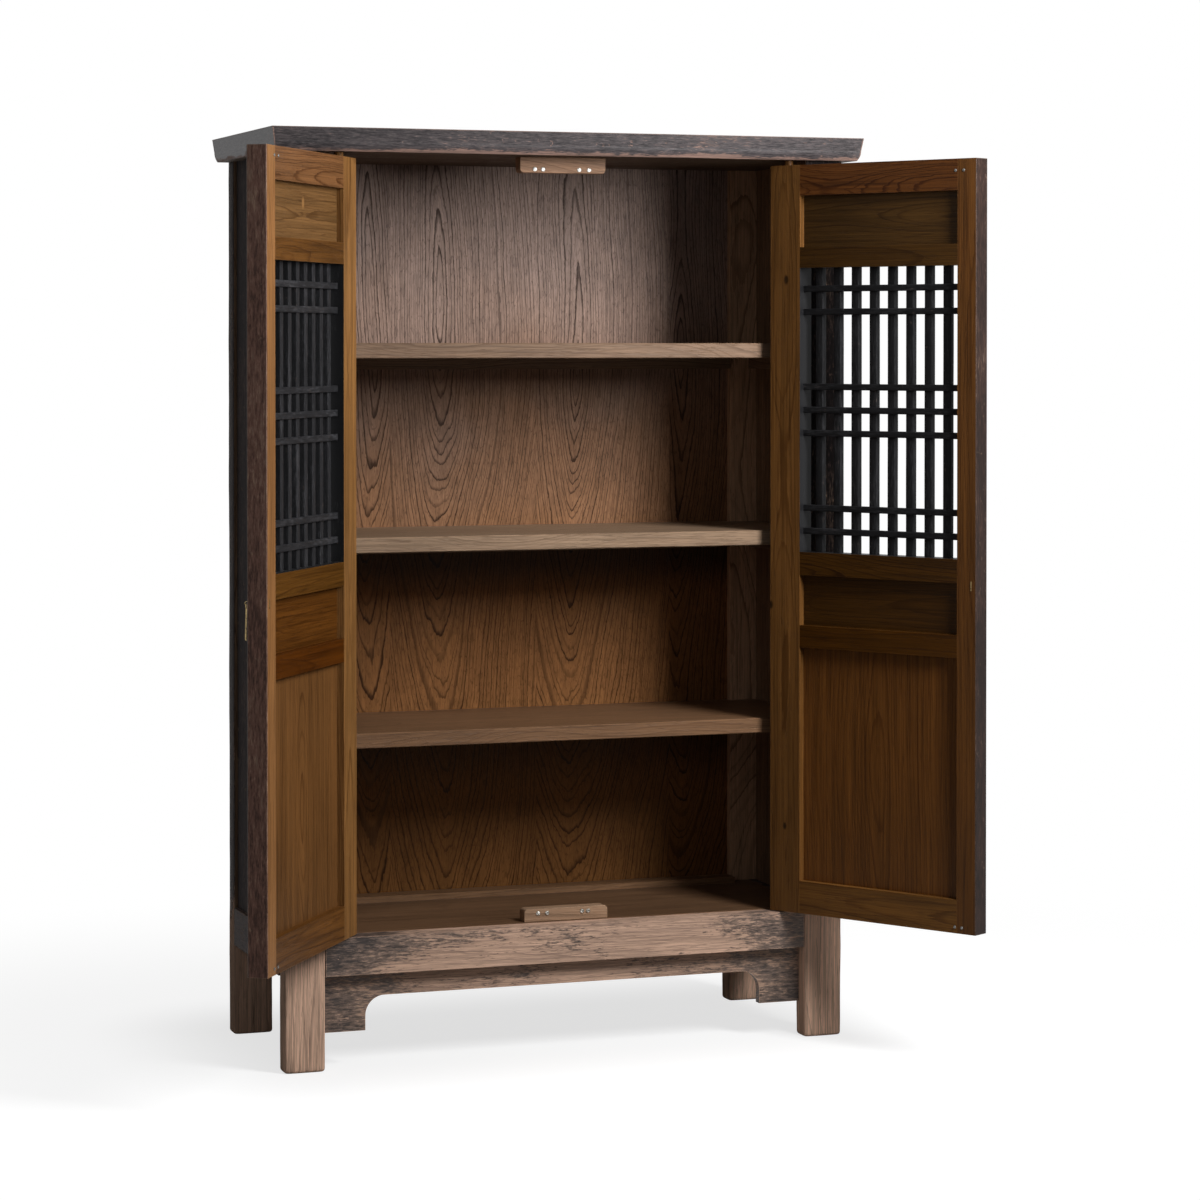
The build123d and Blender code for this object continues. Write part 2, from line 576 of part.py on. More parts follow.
BACK_EDGES = (-INNER_X - GROOVE_DEPTH + GAP,) + BACK_JOINTS + (INNER_X + GROOVE_DEPTH - GAP,)
BACK_TONGUE_Y = (
    BACK_FACE + (BACK_THICKNESS - BACK_TONGUE) / 2,
    BACK_FACE + (BACK_THICKNESS + BACK_TONGUE) / 2,
)


def plank(number):
    """One upright plank of the back, tongued into the next one on its right."""
    left, right = BACK_EDGES[number], BACK_EDGES[number + 1]
    bar((left, right), BACK_Y, (PANEL_BOTTOM, PANEL_TOP))
    if number > 0:
        bar((left, left + BACK_TONGUE_LENGTH + GAP), grown(BACK_TONGUE_Y, FIT), (PANEL_BOTTOM, PANEL_TOP), Mode.SUBTRACT)
    if number < len(BACK_JOINTS):
        bar((right, right + BACK_TONGUE_LENGTH), BACK_TONGUE_Y, (PANEL_BOTTOM, PANEL_TOP))


with BuildPart() as back_plank_1:
    plank(0)
keep(back_plank_1.part, "back_plank_1")

with BuildPart() as back_plank_2:
    plank(1)
keep(back_plank_2.part, "back_plank_2")

with BuildPart() as back_plank_3:
    plank(2)
keep(back_plank_3.part, "back_plank_3")

with BuildPart() as back_plank_4:
    plank(3)
keep(back_plank_4.part, "back_plank_4")

with BuildPart() as back_batten:
    bar(
        (-INNER_X + GAP, INNER_X - GAP),
        (BACK_FACE - GAP - BATTEN_DEPTH, BACK_FACE - GAP),
        (BOARD_TOP, BOARD_TOP + BATTEN_HEIGHT),
    )
keep(back_batten.part, "back_batten")

# ================================================================ the shelves and the bearers under them


def shelf(top):
    """A shelf between the side panels, notched round the rear posts, its front edges eased."""
    span = (-PANEL_INNER + GAP, PANEL_INNER - GAP)
    z = (top - SHELF_THICKNESS, top)
    bar(span, (SHELF_FRONT, BACK_FACE - GAP), z)
    chamfer(edges().filter_by(Axis.X).group_by(Axis.Y)[0], SHELF_BEVEL)
    for end in span:
        bar((end, math.copysign(INNER_X - GAP, end)), (REAR_POST - GAP, BACK_FACE), z, Mode.SUBTRACT)


with BuildPart() as shelf_lower:
    shelf(SHELF_TOPS[0])
keep(shelf_lower.part, SHELF_NAMES[0])

with BuildPart() as shelf_middle:
    shelf(SHELF_TOPS[1])
keep(shelf_middle.part, SHELF_NAMES[1])

with BuildPart() as shelf_upper:
    shelf(SHELF_TOPS[2])
keep(shelf_upper.part, SHELF_NAMES[2])

with BuildPart() as shelf_side_bearers:
    for shelf_top in SHELF_TOPS:
        under = shelf_top - SHELF_THICKNESS
        for side in (-1, 1):
            bar(
                (side * (PANEL_INNER - BEARER_WIDTH), side * PANEL_INNER),
                (BEARER_FRONT, REAR_POST - GAP),
                (under - BEARER_HEIGHT, under),
            )
keep(shelf_side_bearers.part, "shelf_side_bearers")

with BuildPart() as shelf_rear_bearers:
    for shelf_top in SHELF_TOPS:
        under = shelf_top - SHELF_THICKNESS
        bar((-INNER_X + GAP, INNER_X - GAP), (BACK_FACE - BEARER_WIDTH, BACK_FACE), (under - BEARER_HEIGHT, under))
keep(shelf_rear_bearers.part, "shelf_rear_bearers")

# ================================================================ the catches


def catch_block(span, z):
    """A wooden block behind the meeting stiles."""
    with BuildSketch(Plane.XY.offset(z[0])) as outline:
        with Locations(((span[0] + span[1]) / 2, CATCH_FACE + CATCH_DEPTH / 2)):
            RectangleRounded(span[1] - span[0], CATCH_DEPTH, CATCH_ROUND)
    extrude(outline.sketch, amount=z[1] - z[0])


with BuildPart() as catch_block_top:
    catch_block(CATCH_TOP_SPAN, (TOP_UNDER - CATCH_TOP_HEIGHT, TOP_UNDER))
keep(catch_block_top.part, "catch_block_top")

with BuildPart() as catch_block_bottom:
    catch_block(CATCH_BOTTOM_SPAN, (BOARD_TOP, BOARD_TOP + CATCH_BOTTOM_HEIGHT))
keep(catch_block_bottom.part, "catch_block_bottom")


def screw_heads(xs, z, face, tilt, height):
    """A row of round screw heads on a face; a tilt of 90 turns them to the front, and -90 to the back."""
    for x in xs:
        with Locations((x, face, z)):
            Cone(
                HEAD_RADIUS,
                HEAD_RADIUS - HEAD_TAPER,
                height,
                rotation=(tilt, 0, 0),
                align=(Align.CENTER, Align.CENTER, Align.MIN),
            )


with BuildPart() as catch_screws:
    screw_heads(CATCH_TOP_SCREW_XS, CATCH_TOP_SCREW_Z, CATCH_FACE, 90, CATCH_HEAD_HEIGHT)
    screw_heads(CATCH_BOTTOM_SCREW_XS, CATCH_BOTTOM_SCREW_Z, CATCH_FACE, 90, CATCH_HEAD_HEIGHT)
keep(catch_screws.part, "catch_screws")

# ================================================================ the doors


def stile_joints(edge, inward):
    """Mortises, panel grooves and bar housings in the inner edge of a stile; inward is the way into the wood."""
    for rail in DOOR_RAILS:
        bar(
            (edge, edge + inward * (TENON_LENGTH + GAP)),
            grown(DOOR_TENON_Y, FIT),
            grown(rail, FIT - TENON_SHOULDER),
            Mode.SUBTRACT,
        )
    for field in PANEL_FIELDS:
        bar(
            (edge, edge + inward * (TONGUE_LENGTH + GAP)),
            grown(DOOR_TONGUE_Y, FIT),
            grown(field, TONGUE_LENGTH + GAP),
            Mode.SUBTRACT,
        )
    for middle in LATTICE_ZS:
        bar(
            (edge, edge + inward * (HOUSING + GAP)),
            grown(LATTICE_BAR_Y, FIT),
            grown((middle, middle), LATTICE_BAR_HEIGHT / 2 + FIT),
            Mode.SUBTRACT,
        )


def rail_blank(z):
    """A door rail with a tenon at each end."""
    bar(OPENING_X, DOOR_Y, z)
    bar(grown(OPENING_X, TENON_LENGTH), DOOR_TENON_Y, grown(z, -TENON_SHOULDER))


def rail_groove(edge, inward):
    """A groove for a panel along one edge of a rail."""
    bar(OPENING_X, grown(DOOR_TONGUE_Y, FIT), (edge, edge + inward * (TONGUE_LENGTH + GAP)), Mode.SUBTRACT)


def rail_housings(edge, inward):
    """Housings for the ends of the lattice uprights along one edge of a rail."""
    for middle in UPRIGHT_XS:
        bar(
            grown((middle, middle), UPRIGHT_WIDTH / 2 + FIT),
            grown(UPRIGHT_Y, FIT),
            (edge, edge + inward * HOUSING),
            Mode.SUBTRACT,
        )


def door_panel(field):
    """A plain panel with a tongue all round."""
    bar(grown(OPENING_X, -FIT), DOOR_PANEL_Y, grown(field, -FIT))
    bar(grown(OPENING_X, TONGUE_LENGTH), DOOR_TONGUE_Y, grown(field, TONGUE_LENGTH))


with BuildPart() as hinge_stile:
    with BuildSketch(Plane.XY.offset(DOOR_BOTTOM)) as hinge_plan:
        with Locations((HINGE_EDGE + HINGE_STILE_WIDTH / 2, (DOOR_Y[0] + DOOR_Y[1]) / 2)):
            Rectangle(HINGE_STILE_WIDTH, DOOR_THICKNESS)
        hinge_corners = hinge_plan.vertices().group_by(Axis.X)[0].sort_by(Axis.Y)
        fillet(hinge_corners[0], ARRIS_ROUND)
        chamfer(hinge_plan.vertices().group_by(Axis.X)[0].sort_by(Axis.Y)[-1], EDGE_BEVEL)
    extrude(amount=DOOR_TOP - DOOR_BOTTOM)
    round_post(PIVOT_X, PIVOT_Y, (LOWER_SOCKET + GAP, DOOR_BOTTOM), PIVOT_RADIUS)
    round_post(PIVOT_X, PIVOT_Y, (DOOR_TOP, UPPER_PIVOT_END), PIVOT_RADIUS)
    stile_joints(OPENING_X[0], -1)
keep_door_pair(hinge_stile.part, "hinge_stile")

with BuildPart() as free_stile:
    with BuildSketch(Plane.XY.offset(DOOR_BOTTOM)) as free_plan:
        with Locations((FREE_EDGE - FREE_STILE_WIDTH / 2, (DOOR_Y[0] + DOOR_Y[1]) / 2)):
            Rectangle(FREE_STILE_WIDTH, DOOR_THICKNESS)
        chamfer(free_plan.vertices().group_by(Axis.X)[-1], EDGE_BEVEL)
    extrude(amount=DOOR_TOP - DOOR_BOTTOM)
    stile_joints(OPENING_X[1], 1)
    bar(
        grown((PULL_X, PULL_X), STRIP_WIDTH / 2 + FIT),
        DOOR_Y,
        grown((PULL_HEIGHT, PULL_HEIGHT), STRIP_THICKNESS + FIT),
        Mode.SUBTRACT,
    )
keep_door_pair(free_stile.part, "free_stile")

with BuildPart() as door_top_rail:
    rail_blank(TOP_RAIL)
    rail_groove(TOP_RAIL[0], 1)
keep_door_pair(door_top_rail.part, "top_rail")

with BuildPart() as door_upper_rail:
    rail_blank(UPPER_RAIL)
    rail_groove(UPPER_RAIL[1], -1)
    rail_housings(UPPER_RAIL[0], 1)
keep_door_pair(door_upper_rail.part, "upper_rail")

with BuildPart() as door_lock_rail:
    rail_blank(LOCK_RAIL)
    rail_groove(LOCK_RAIL[0], 1)
    rail_housings(LOCK_RAIL[1], -1)
keep_door_pair(door_lock_rail.part, "lock_rail")

with BuildPart() as door_lower_rail:
    rail_blank(LOWER_RAIL)
    rail_groove(LOWER_RAIL[0], 1)
    rail_groove(LOWER_RAIL[1], -1)
keep_door_pair(door_lower_rail.part, "lower_rail")

with BuildPart() as door_bottom_rail:
    rail_blank(BOTTOM_RAIL)
    rail_groove(BOTTOM_RAIL[1], -1)
keep_door_pair(door_bottom_rail.part, "bottom_rail")

with BuildPart() as upper_panel:
    door_panel(UPPER_FIELD)
keep_door_pair(upper_panel.part, "upper_panel")

with BuildPart() as middle_panel:
    door_panel(MIDDLE_FIELD)
keep_door_pair(middle_panel.part, "middle_panel")

with BuildPart() as lower_panel:
    door_panel(LOWER_FIELD)
keep_door_pair(lower_panel.part, "lower_panel")

# ---- the lattice: uprights and bars of the same thickness, let half into each other ----

with BuildPart() as lattice_uprights:
    for middle in UPRIGHT_XS:
        bar(grown((middle, middle), UPRIGHT_WIDTH / 2), UPRIGHT_Y, grown(LATTICE_FIELD, HOUSING - FIT / 2))
    for middle in LATTICE_ZS:
        bar(
            OPENING_X,
            (LAP_Y - FIT / 2, UPRIGHT_Y[1]),
            grown((middle, middle), LATTICE_BAR_HEIGHT / 2 + FIT),
            Mode.SUBTRACT,
        )
keep_door_pair(lattice_uprights.part, "lattice_uprights")

with BuildPart() as lattice_bars:
    for middle in LATTICE_ZS:
        bar(grown(OPENING_X, HOUSING), LATTICE_BAR_Y, grown((middle, middle), LATTICE_BAR_HEIGHT / 2))
    for middle in UPRIGHT_XS:
        bar(
            grown((middle, middle), UPRIGHT_WIDTH / 2 + FIT),
            (LATTICE_BAR_Y[0], LAP_Y + FIT / 2),
            LATTICE_FIELD,
            Mode.SUBTRACT,
        )
keep_door_pair(lattice_bars.part, "lattice_bars")

# ---- the screws that the catches hold ----

with BuildPart() as left_strike_screws:
    screw_heads(LEFT_STRIKE_XS[0], DOOR_TOP - LEFT_STRIKE_DROP, DOOR_Y[1], -90, STRIKE_HEAD_HEIGHT)
    screw_heads(LEFT_STRIKE_XS[1], STRIKE_BOTTOM_Z, DOOR_Y[1], -90, STRIKE_HEAD_HEIGHT)
keep_left_door(left_strike_screws.part, "strike_screws")

with BuildPart() as right_strike_screws:
    screw_heads(RIGHT_STRIKE_XS[0], DOOR_TOP - RIGHT_STRIKE_DROP, DOOR_Y[1], -90, STRIKE_HEAD_HEIGHT)
    screw_heads(RIGHT_STRIKE_XS[1], STRIKE_BOTTOM_Z, DOOR_Y[1], -90, STRIKE_HEAD_HEIGHT)
keep_right_door(right_strike_screws.part, "strike_screws")

# ---- the pull: a strip bent to an eye, its two legs driven through the free stile and spread, and a drop in the eye ----

with BuildPart() as pull_staple:
    with BuildSketch(Plane.YZ.offset(PULL_X - STRIP_WIDTH / 2)):
        with Locations((EYE_Y, PULL_HEIGHT)):
            Circle(EYE_RADIUS)
            Circle(EYE_RADIUS - STRIP_THICKNESS, mode=Mode.SUBTRACT)
    extrude(amount=STRIP_WIDTH)
    bar(
        grown((PULL_X, PULL_X), STRIP_WIDTH / 2),
        (EYE_Y + EYE_RADIUS - STRIP_THICKNESS / 2, DOOR_Y[1]),
        grown((PULL_HEIGHT, PULL_HEIGHT), STRIP_THICKNESS),
    )
    bar(
        grown((PULL_X, PULL_X), STRIP_WIDTH / 2),
        (DOOR_Y[1], DOOR_Y[1] + STRIP_THICKNESS),
        grown((PULL_HEIGHT, PULL_HEIGHT), LEG_LENGTH),
    )
keep_door_pair(pull_staple.part, "pull_staple")

with BuildPart() as drop_pull:
    ring_middle = SWING_Z - RING_RADIUS + RING_WIRE / 2
    with BuildSketch(Plane.XZ.offset(-EYE_Y - RING_WIRE / 2)):
        with Locations((PULL_X, ring_middle)):
            Circle(RING_RADIUS)
            Circle(RING_RADIUS - RING_WIRE, mode=Mode.SUBTRACT)
    extrude(amount=RING_WIRE)
    with BuildSketch(Plane.XZ.offset(-EYE_Y - DROP_THICKNESS / 2)):
        with Locations((PULL_X, ring_middle - RING_RADIUS)):
            Circle(DROP_NECK)
        with Locations((PULL_X, SWING_Z - DROP_LENGTH + DROP_BULB)):
            Circle(DROP_BULB)
        make_hull()
    extrude(amount=DROP_THICKNESS)
keep_door_pair(drop_pull.part, "drop_pull")

# ================================================================ over the origin, and written

boxes = [piece.bounding_box() for piece in PIECES]
middle_x = (min(box.min.X for box in boxes) + max(box.max.X for box in boxes)) / 2
middle_y = (min(box.min.Y for box in boxes) + max(box.max.Y for box in boxes)) / 2
to_origin = Location((-middle_x, -middle_y, 0))

for piece in PIECES:
    placed = piece.moved(to_origin)
    placed.label = piece.label
    export_step(placed, "parts/" + piece.label + ".step")


def turned(point, about, angle):
    """A point in plan, turned about another."""
    c, s = math.cos(math.radians(angle)), math.sin(math.radians(angle))
    dx, dy = point[0] - about[0], point[1] - about[1]
    return (about[0] + c * dx - s * dy, about[1] + s * dx + c * dy)


print("pieces", len(PIECES))
print("shift", round(-middle_x, 3), round(-middle_y, 3))
for name, side, angle in (("left", 1, -LEFT_OPEN), ("right", -1, RIGHT_OPEN)):
    axle = (side * PIVOT_X, PIVOT_Y)
    eye = turned((side * PULL_X, EYE_Y), axle, angle)
    across = turned((-1, 0), (0, 0), angle)
    print(name, "pivot", round(axle[0] - middle_x, 3), round(axle[1] - middle_y, 3))
    print(name, "pull", round(eye[0] - middle_x, 3), round(eye[1] - middle_y, 3), round(SWING_Z, 3))
    print(name, "pull axis", round(across[0], 6), round(across[1], 6))
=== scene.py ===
import math

import bmesh
import bpy
from bpy.props import FloatProperty, FloatVectorProperty, PointerProperty
from mathutils import Matrix, Vector, noise


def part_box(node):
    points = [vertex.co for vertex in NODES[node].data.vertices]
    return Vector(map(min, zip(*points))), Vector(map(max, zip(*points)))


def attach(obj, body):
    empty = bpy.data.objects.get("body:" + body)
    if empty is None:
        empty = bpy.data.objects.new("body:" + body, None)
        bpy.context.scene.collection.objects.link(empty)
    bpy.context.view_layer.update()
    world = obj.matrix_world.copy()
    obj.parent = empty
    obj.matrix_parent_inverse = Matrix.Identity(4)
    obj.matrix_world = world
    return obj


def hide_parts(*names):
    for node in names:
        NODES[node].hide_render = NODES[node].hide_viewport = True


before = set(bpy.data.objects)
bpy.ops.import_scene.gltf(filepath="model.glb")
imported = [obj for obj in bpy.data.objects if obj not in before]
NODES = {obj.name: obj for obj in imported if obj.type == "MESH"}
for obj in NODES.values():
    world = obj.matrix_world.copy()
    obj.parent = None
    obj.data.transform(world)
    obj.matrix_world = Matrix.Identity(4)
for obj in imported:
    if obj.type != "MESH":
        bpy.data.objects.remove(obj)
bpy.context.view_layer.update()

bl_info = {
    "name": "Book Cabinet",
    "version": (1, 0, 0),
    "blender": (4, 5, 0),
    "location": "3D View > Sidebar > Cabinet",
    "description": "Finishes and fittings of a lacquered two-door book cabinet with lattice doors",
    "category": "Object",
}

RIGHT, BACK, UP = Vector((1, 0, 0)), Vector((0, 1, 0)), Vector((0, 0, 1))
LEFT_OPENING, RIGHT_OPENING = 124.5, 120.8  # degrees from closed


def heading(degrees):
    """The level direction at an angle from the right."""
    return Vector((math.cos(math.radians(degrees)), math.sin(math.radians(degrees)), 0.0))


# Each door's width, from hinge to free edge, and the direction that its outer face looks in.
DOORS = {
    "left": (heading(-LEFT_OPENING), heading(-LEFT_OPENING - 90)),
    "right": (heading(180 + RIGHT_OPENING), heading(180 + RIGHT_OPENING + 90)),
}


def metres(name, description, default, low=0.0, high=1.0):
    """A length that a user may change."""
    return FloatProperty(name=name, description=description, default=default, min=low, max=high,
                         unit="LENGTH", precision=4)


def colour(name, description, default):
    """A colour that a user may change."""
    return FloatVectorProperty(name=name, description=description, default=default, size=3, min=0.0,
                               max=1.0, subtype="COLOR")


def amount(name, description, default, unit, high):
    """A lamp's power or a lens's length that a user may change."""
    return FloatProperty(name=name, description=description, default=default, min=0.0, max=high, unit=unit)


class CabinetFinishes(bpy.types.PropertyGroup):
    """Colours and wear of the cabinet's finishes."""

    lacquer: colour("Lacquer", "Lacquer of the carcass and the doors' outer faces", (0.02, 0.016, 0.016))
    lacquer_rubbed: colour("Rubbed lacquer", "Lacquer that hands have thinned", (0.06, 0.044, 0.04))
    bare_edge: colour("Bare edge", "Wood that shows at rubbed edges and scratches", (0.3, 0.2, 0.14))
    weathered: colour("Weathered wood", "Wood of the bottom rail, apron and feet", (0.60, 0.39, 0.28))
    weathered_stain: colour("Weathered stain", "Lacquer left in the weathered grain", (0.06, 0.046, 0.044))
    back_light: colour("Back boards, light", "Early wood of the back boards", (0.33, 0.235, 0.195))
    back_dark: colour("Back boards, dark", "Late wood of the back boards", (0.060, 0.038, 0.030))
    inside_light: colour("Inside wood, light", "Early wood inside the carcass", (0.19, 0.12, 0.075))
    inside_dark: colour("Inside wood, dark", "Late wood inside the carcass", (0.08, 0.045, 0.026))
    inner_light: colour("Shelves, light", "Early wood of the shelves", (0.26, 0.165, 0.1))
    inner_dark: colour("Shelves, dark", "Late wood of the shelves", (0.13, 0.075, 0.042))
    free_edge: colour("Door edges", "Reddish lacquer of the doors' edges", (0.085, 0.045, 0.034))
    block_light: colour("Catch blocks, light", "Early wood of the catch blocks", (0.34, 0.22, 0.14))
    block_dark: colour("Catch blocks, dark", "Late wood of the catch blocks", (0.17, 0.1, 0.06))
    lattice: colour("Lattice", "Black lacquer of the lattices", (0.012, 0.012, 0.013))
    zinc: colour("Zinc", "Zinc plate of the screws", (0.72, 0.71, 0.68))
    brass: colour("Brass", "Darkened brass of the pulls", (0.34, 0.25, 0.12))
    edge_wear: metres("Edge wear", "How far from an edge the lacquer is rubbed", 0.004, 0.0005, 0.02)


class CabinetSizes(bpy.types.PropertyGroup):
    """Wear and small sizes that the frame leaves to the maker."""

    post_rounding: metres("Post rounding", "Roundness of the posts' upright arrises", 0.0028, 0.0005, 0.01)
    foot_rounding: metres("Foot rounding", "Roundness of the posts' worn feet", 0.006, 0.001, 0.012)
    post_waver: metres("Post waver", "How deep hand tools and wear dip into the posts", 0.0008, 0.0, 0.003)
    bar_rounding: metres("Bar rounding", "Roundness of the lattice bars' arrises", 0.0015, 0.0002, 0.004)
    bar_waver: metres("Bar waver", "How far a lattice bar wanders from a straight line", 0.0008, 0.0, 0.003)
    catch_head: metres("Catch screw head", "Radius of the catch blocks' screw heads", 0.0043, 0.002, 0.006)
    strike_head: metres("Strike screw head", "Radius of the doors' screw heads", 0.0029, 0.002, 0.006)


class CabinetStage(bpy.types.PropertyGroup):
    """The floor, the lamps and the camera."""

    key_power: amount("Key lamp", "Power of the soft lamp at the front right", 80.0, "POWER", 1000.0)
    fill_power: amount("Fill lamp", "Power of the soft lamp at the front left", 9.0, "POWER", 1000.0)
    room_light: FloatProperty(name="Room light", description="Strength of the even light from all around",
                              default=0.045, min=0.0, max=2.0, subtype="FACTOR")
    floor_tone: colour("Floor", "Colour of the floor and the backdrop", (0.80, 0.80, 0.80))
    lens: amount("Lens", "Focal length of the camera", 104.29, "CAMERA", 300.0)


def tinted(paint, tint):
    """A colour times a number or another colour."""
    by = (tint,) * 3 if isinstance(tint, (int, float)) else tint
    return tuple(a * b for a, b in zip(paint, by))


class Wiring:
    """Adds nodes to a tree and joins them, one step at a time."""

    def __init__(self, tree):
        self.tree = tree

    def put(self, kind, sockets=None, **settings):
        """A new node with its settings, and its sockets set or joined."""
        node = self.tree.nodes.new(kind)
        for name, value in settings.items():
            setattr(node, name, value)
        for key, value in (sockets or {}).items():
            self.join(node.inputs[key], value)
        return node

    def made(self, kind, sockets=None, **settings):
        """The first output of a new node."""
        return self.put(kind, sockets, **settings).outputs[0]

    def join(self, socket, value):
        """Joins a socket to another one, or sets its value."""
        if isinstance(value, bpy.types.NodeSocket):
            self.tree.links.new(value, socket)
        elif value is not None:
            plain_colour = socket.type == "RGBA" and len(value) == 3
            socket.default_value = (*value, 1.0) if plain_colour else value

    def maths(self, operation, a, b=None, c=None, clamp=False):
        return self.made("ShaderNodeMath", {0: a, 1: b, 2: c}, operation=operation, use_clamp=clamp)

    def plus(self, a, b):
        return self.maths("ADD", a, b)

    def minus(self, a, b):
        return self.maths("SUBTRACT", a, b)

    def times(self, a, b, clamp=False):
        return self.maths("MULTIPLY", a, b, clamp=clamp)

    def larger(self, a, b):
        return self.maths("MAXIMUM", a, b)

    def vector(self, operation, a, b=None, scale=None):
        node = self.put("ShaderNodeVectorMath", {0: a, 1: b, 3: scale}, operation=operation)
        return node.outputs["Value" if operation in ("LENGTH", "DOT_PRODUCT") else "Vector"]

    def scaled(self, a, scale):
        return self.vector("SCALE", a, scale=scale)

    def split(self, place):
        """The X, Y and Z of a place."""
        return self.put("ShaderNodeSeparateXYZ", {0: place}).outputs

    def mix(self, factor, a, b, blend="MIX"):
        """Two colours mixed."""
        sockets = {0: factor, 6: a, 7: b}
        node = self.put("ShaderNodeMix", sockets, data_type="RGBA", blend_type=blend, clamp_factor=True)
        return node.outputs[2]

    def blend(self, factor, a, b):
        """Two numbers mixed."""
        return self.made("ShaderNodeMix", {0: factor, 2: a, 3: b}, data_type="FLOAT", clamp_factor=True)

    def line(self, value, low, high, start=0.0, end=1.0, kind="LINEAR"):
        """A straight step from start to end, between two values."""
        sockets = {"Value": value, "From Min": low, "From Max": high, "To Min": start, "To Max": end}
        return self.made("ShaderNodeMapRange", sockets, interpolation_type=kind)

    def rise(self, value, low, high, start=0.0, end=1.0):
        """A smooth step from start to end, between two values."""
        return self.line(value, low, high, start, end, "SMOOTHSTEP")

    def noise(self, where, scale, detail=2.0, roughness=0.5, stretch=None, give="Fac"):
        """Noise at a place, drawn out along an axis where stretch is given."""
        if stretch is not None:
            where = self.vector("MULTIPLY", where, stretch)
        sockets = {"Vector": where, "Scale": scale, "Detail": detail, "Roughness": roughness}
        return self.put("ShaderNodeTexNoise", sockets).outputs[give]

    def shift(self, where, *recipe):
        """Noise as a small move to any side."""
        return self.vector("SUBTRACT", self.noise(where, *recipe, give="Color"), (0.5, 0.5, 0.5))


def add_sockets(tree, takes, way="INPUT"):
    """Adds named sockets to a tree's edge and gives their identifiers."""
    keys = {}
    for label, kind, default in takes:
        socket = tree.interface.new_socket(label, in_out=way, socket_type=f"NodeSocket{kind}")
        if default is not None:
            socket.default_value = default
        keys[label] = socket.identifier
    return keys


def group(name, takes, gives):
    """An empty node group with its sockets, and the wiring to fill it."""
    tree = bpy.data.node_groups.new(name, "ShaderNodeTree")
    add_sockets(tree, [(label, kind, None) for label, kind in takes])
    add_sockets(tree, [(label, kind, None) for label, kind in gives], "OUTPUT")
    wires = Wiring(tree)
    return wires, wires.put("NodeGroupInput").outputs, wires.put("NodeGroupOutput").inputs


TIMBER_FACTORS = ("Ring", "Sway", "Figure", "Contrast", "Pores", "Streaks", "Mottle", "Peak", "Bow", "Seed")


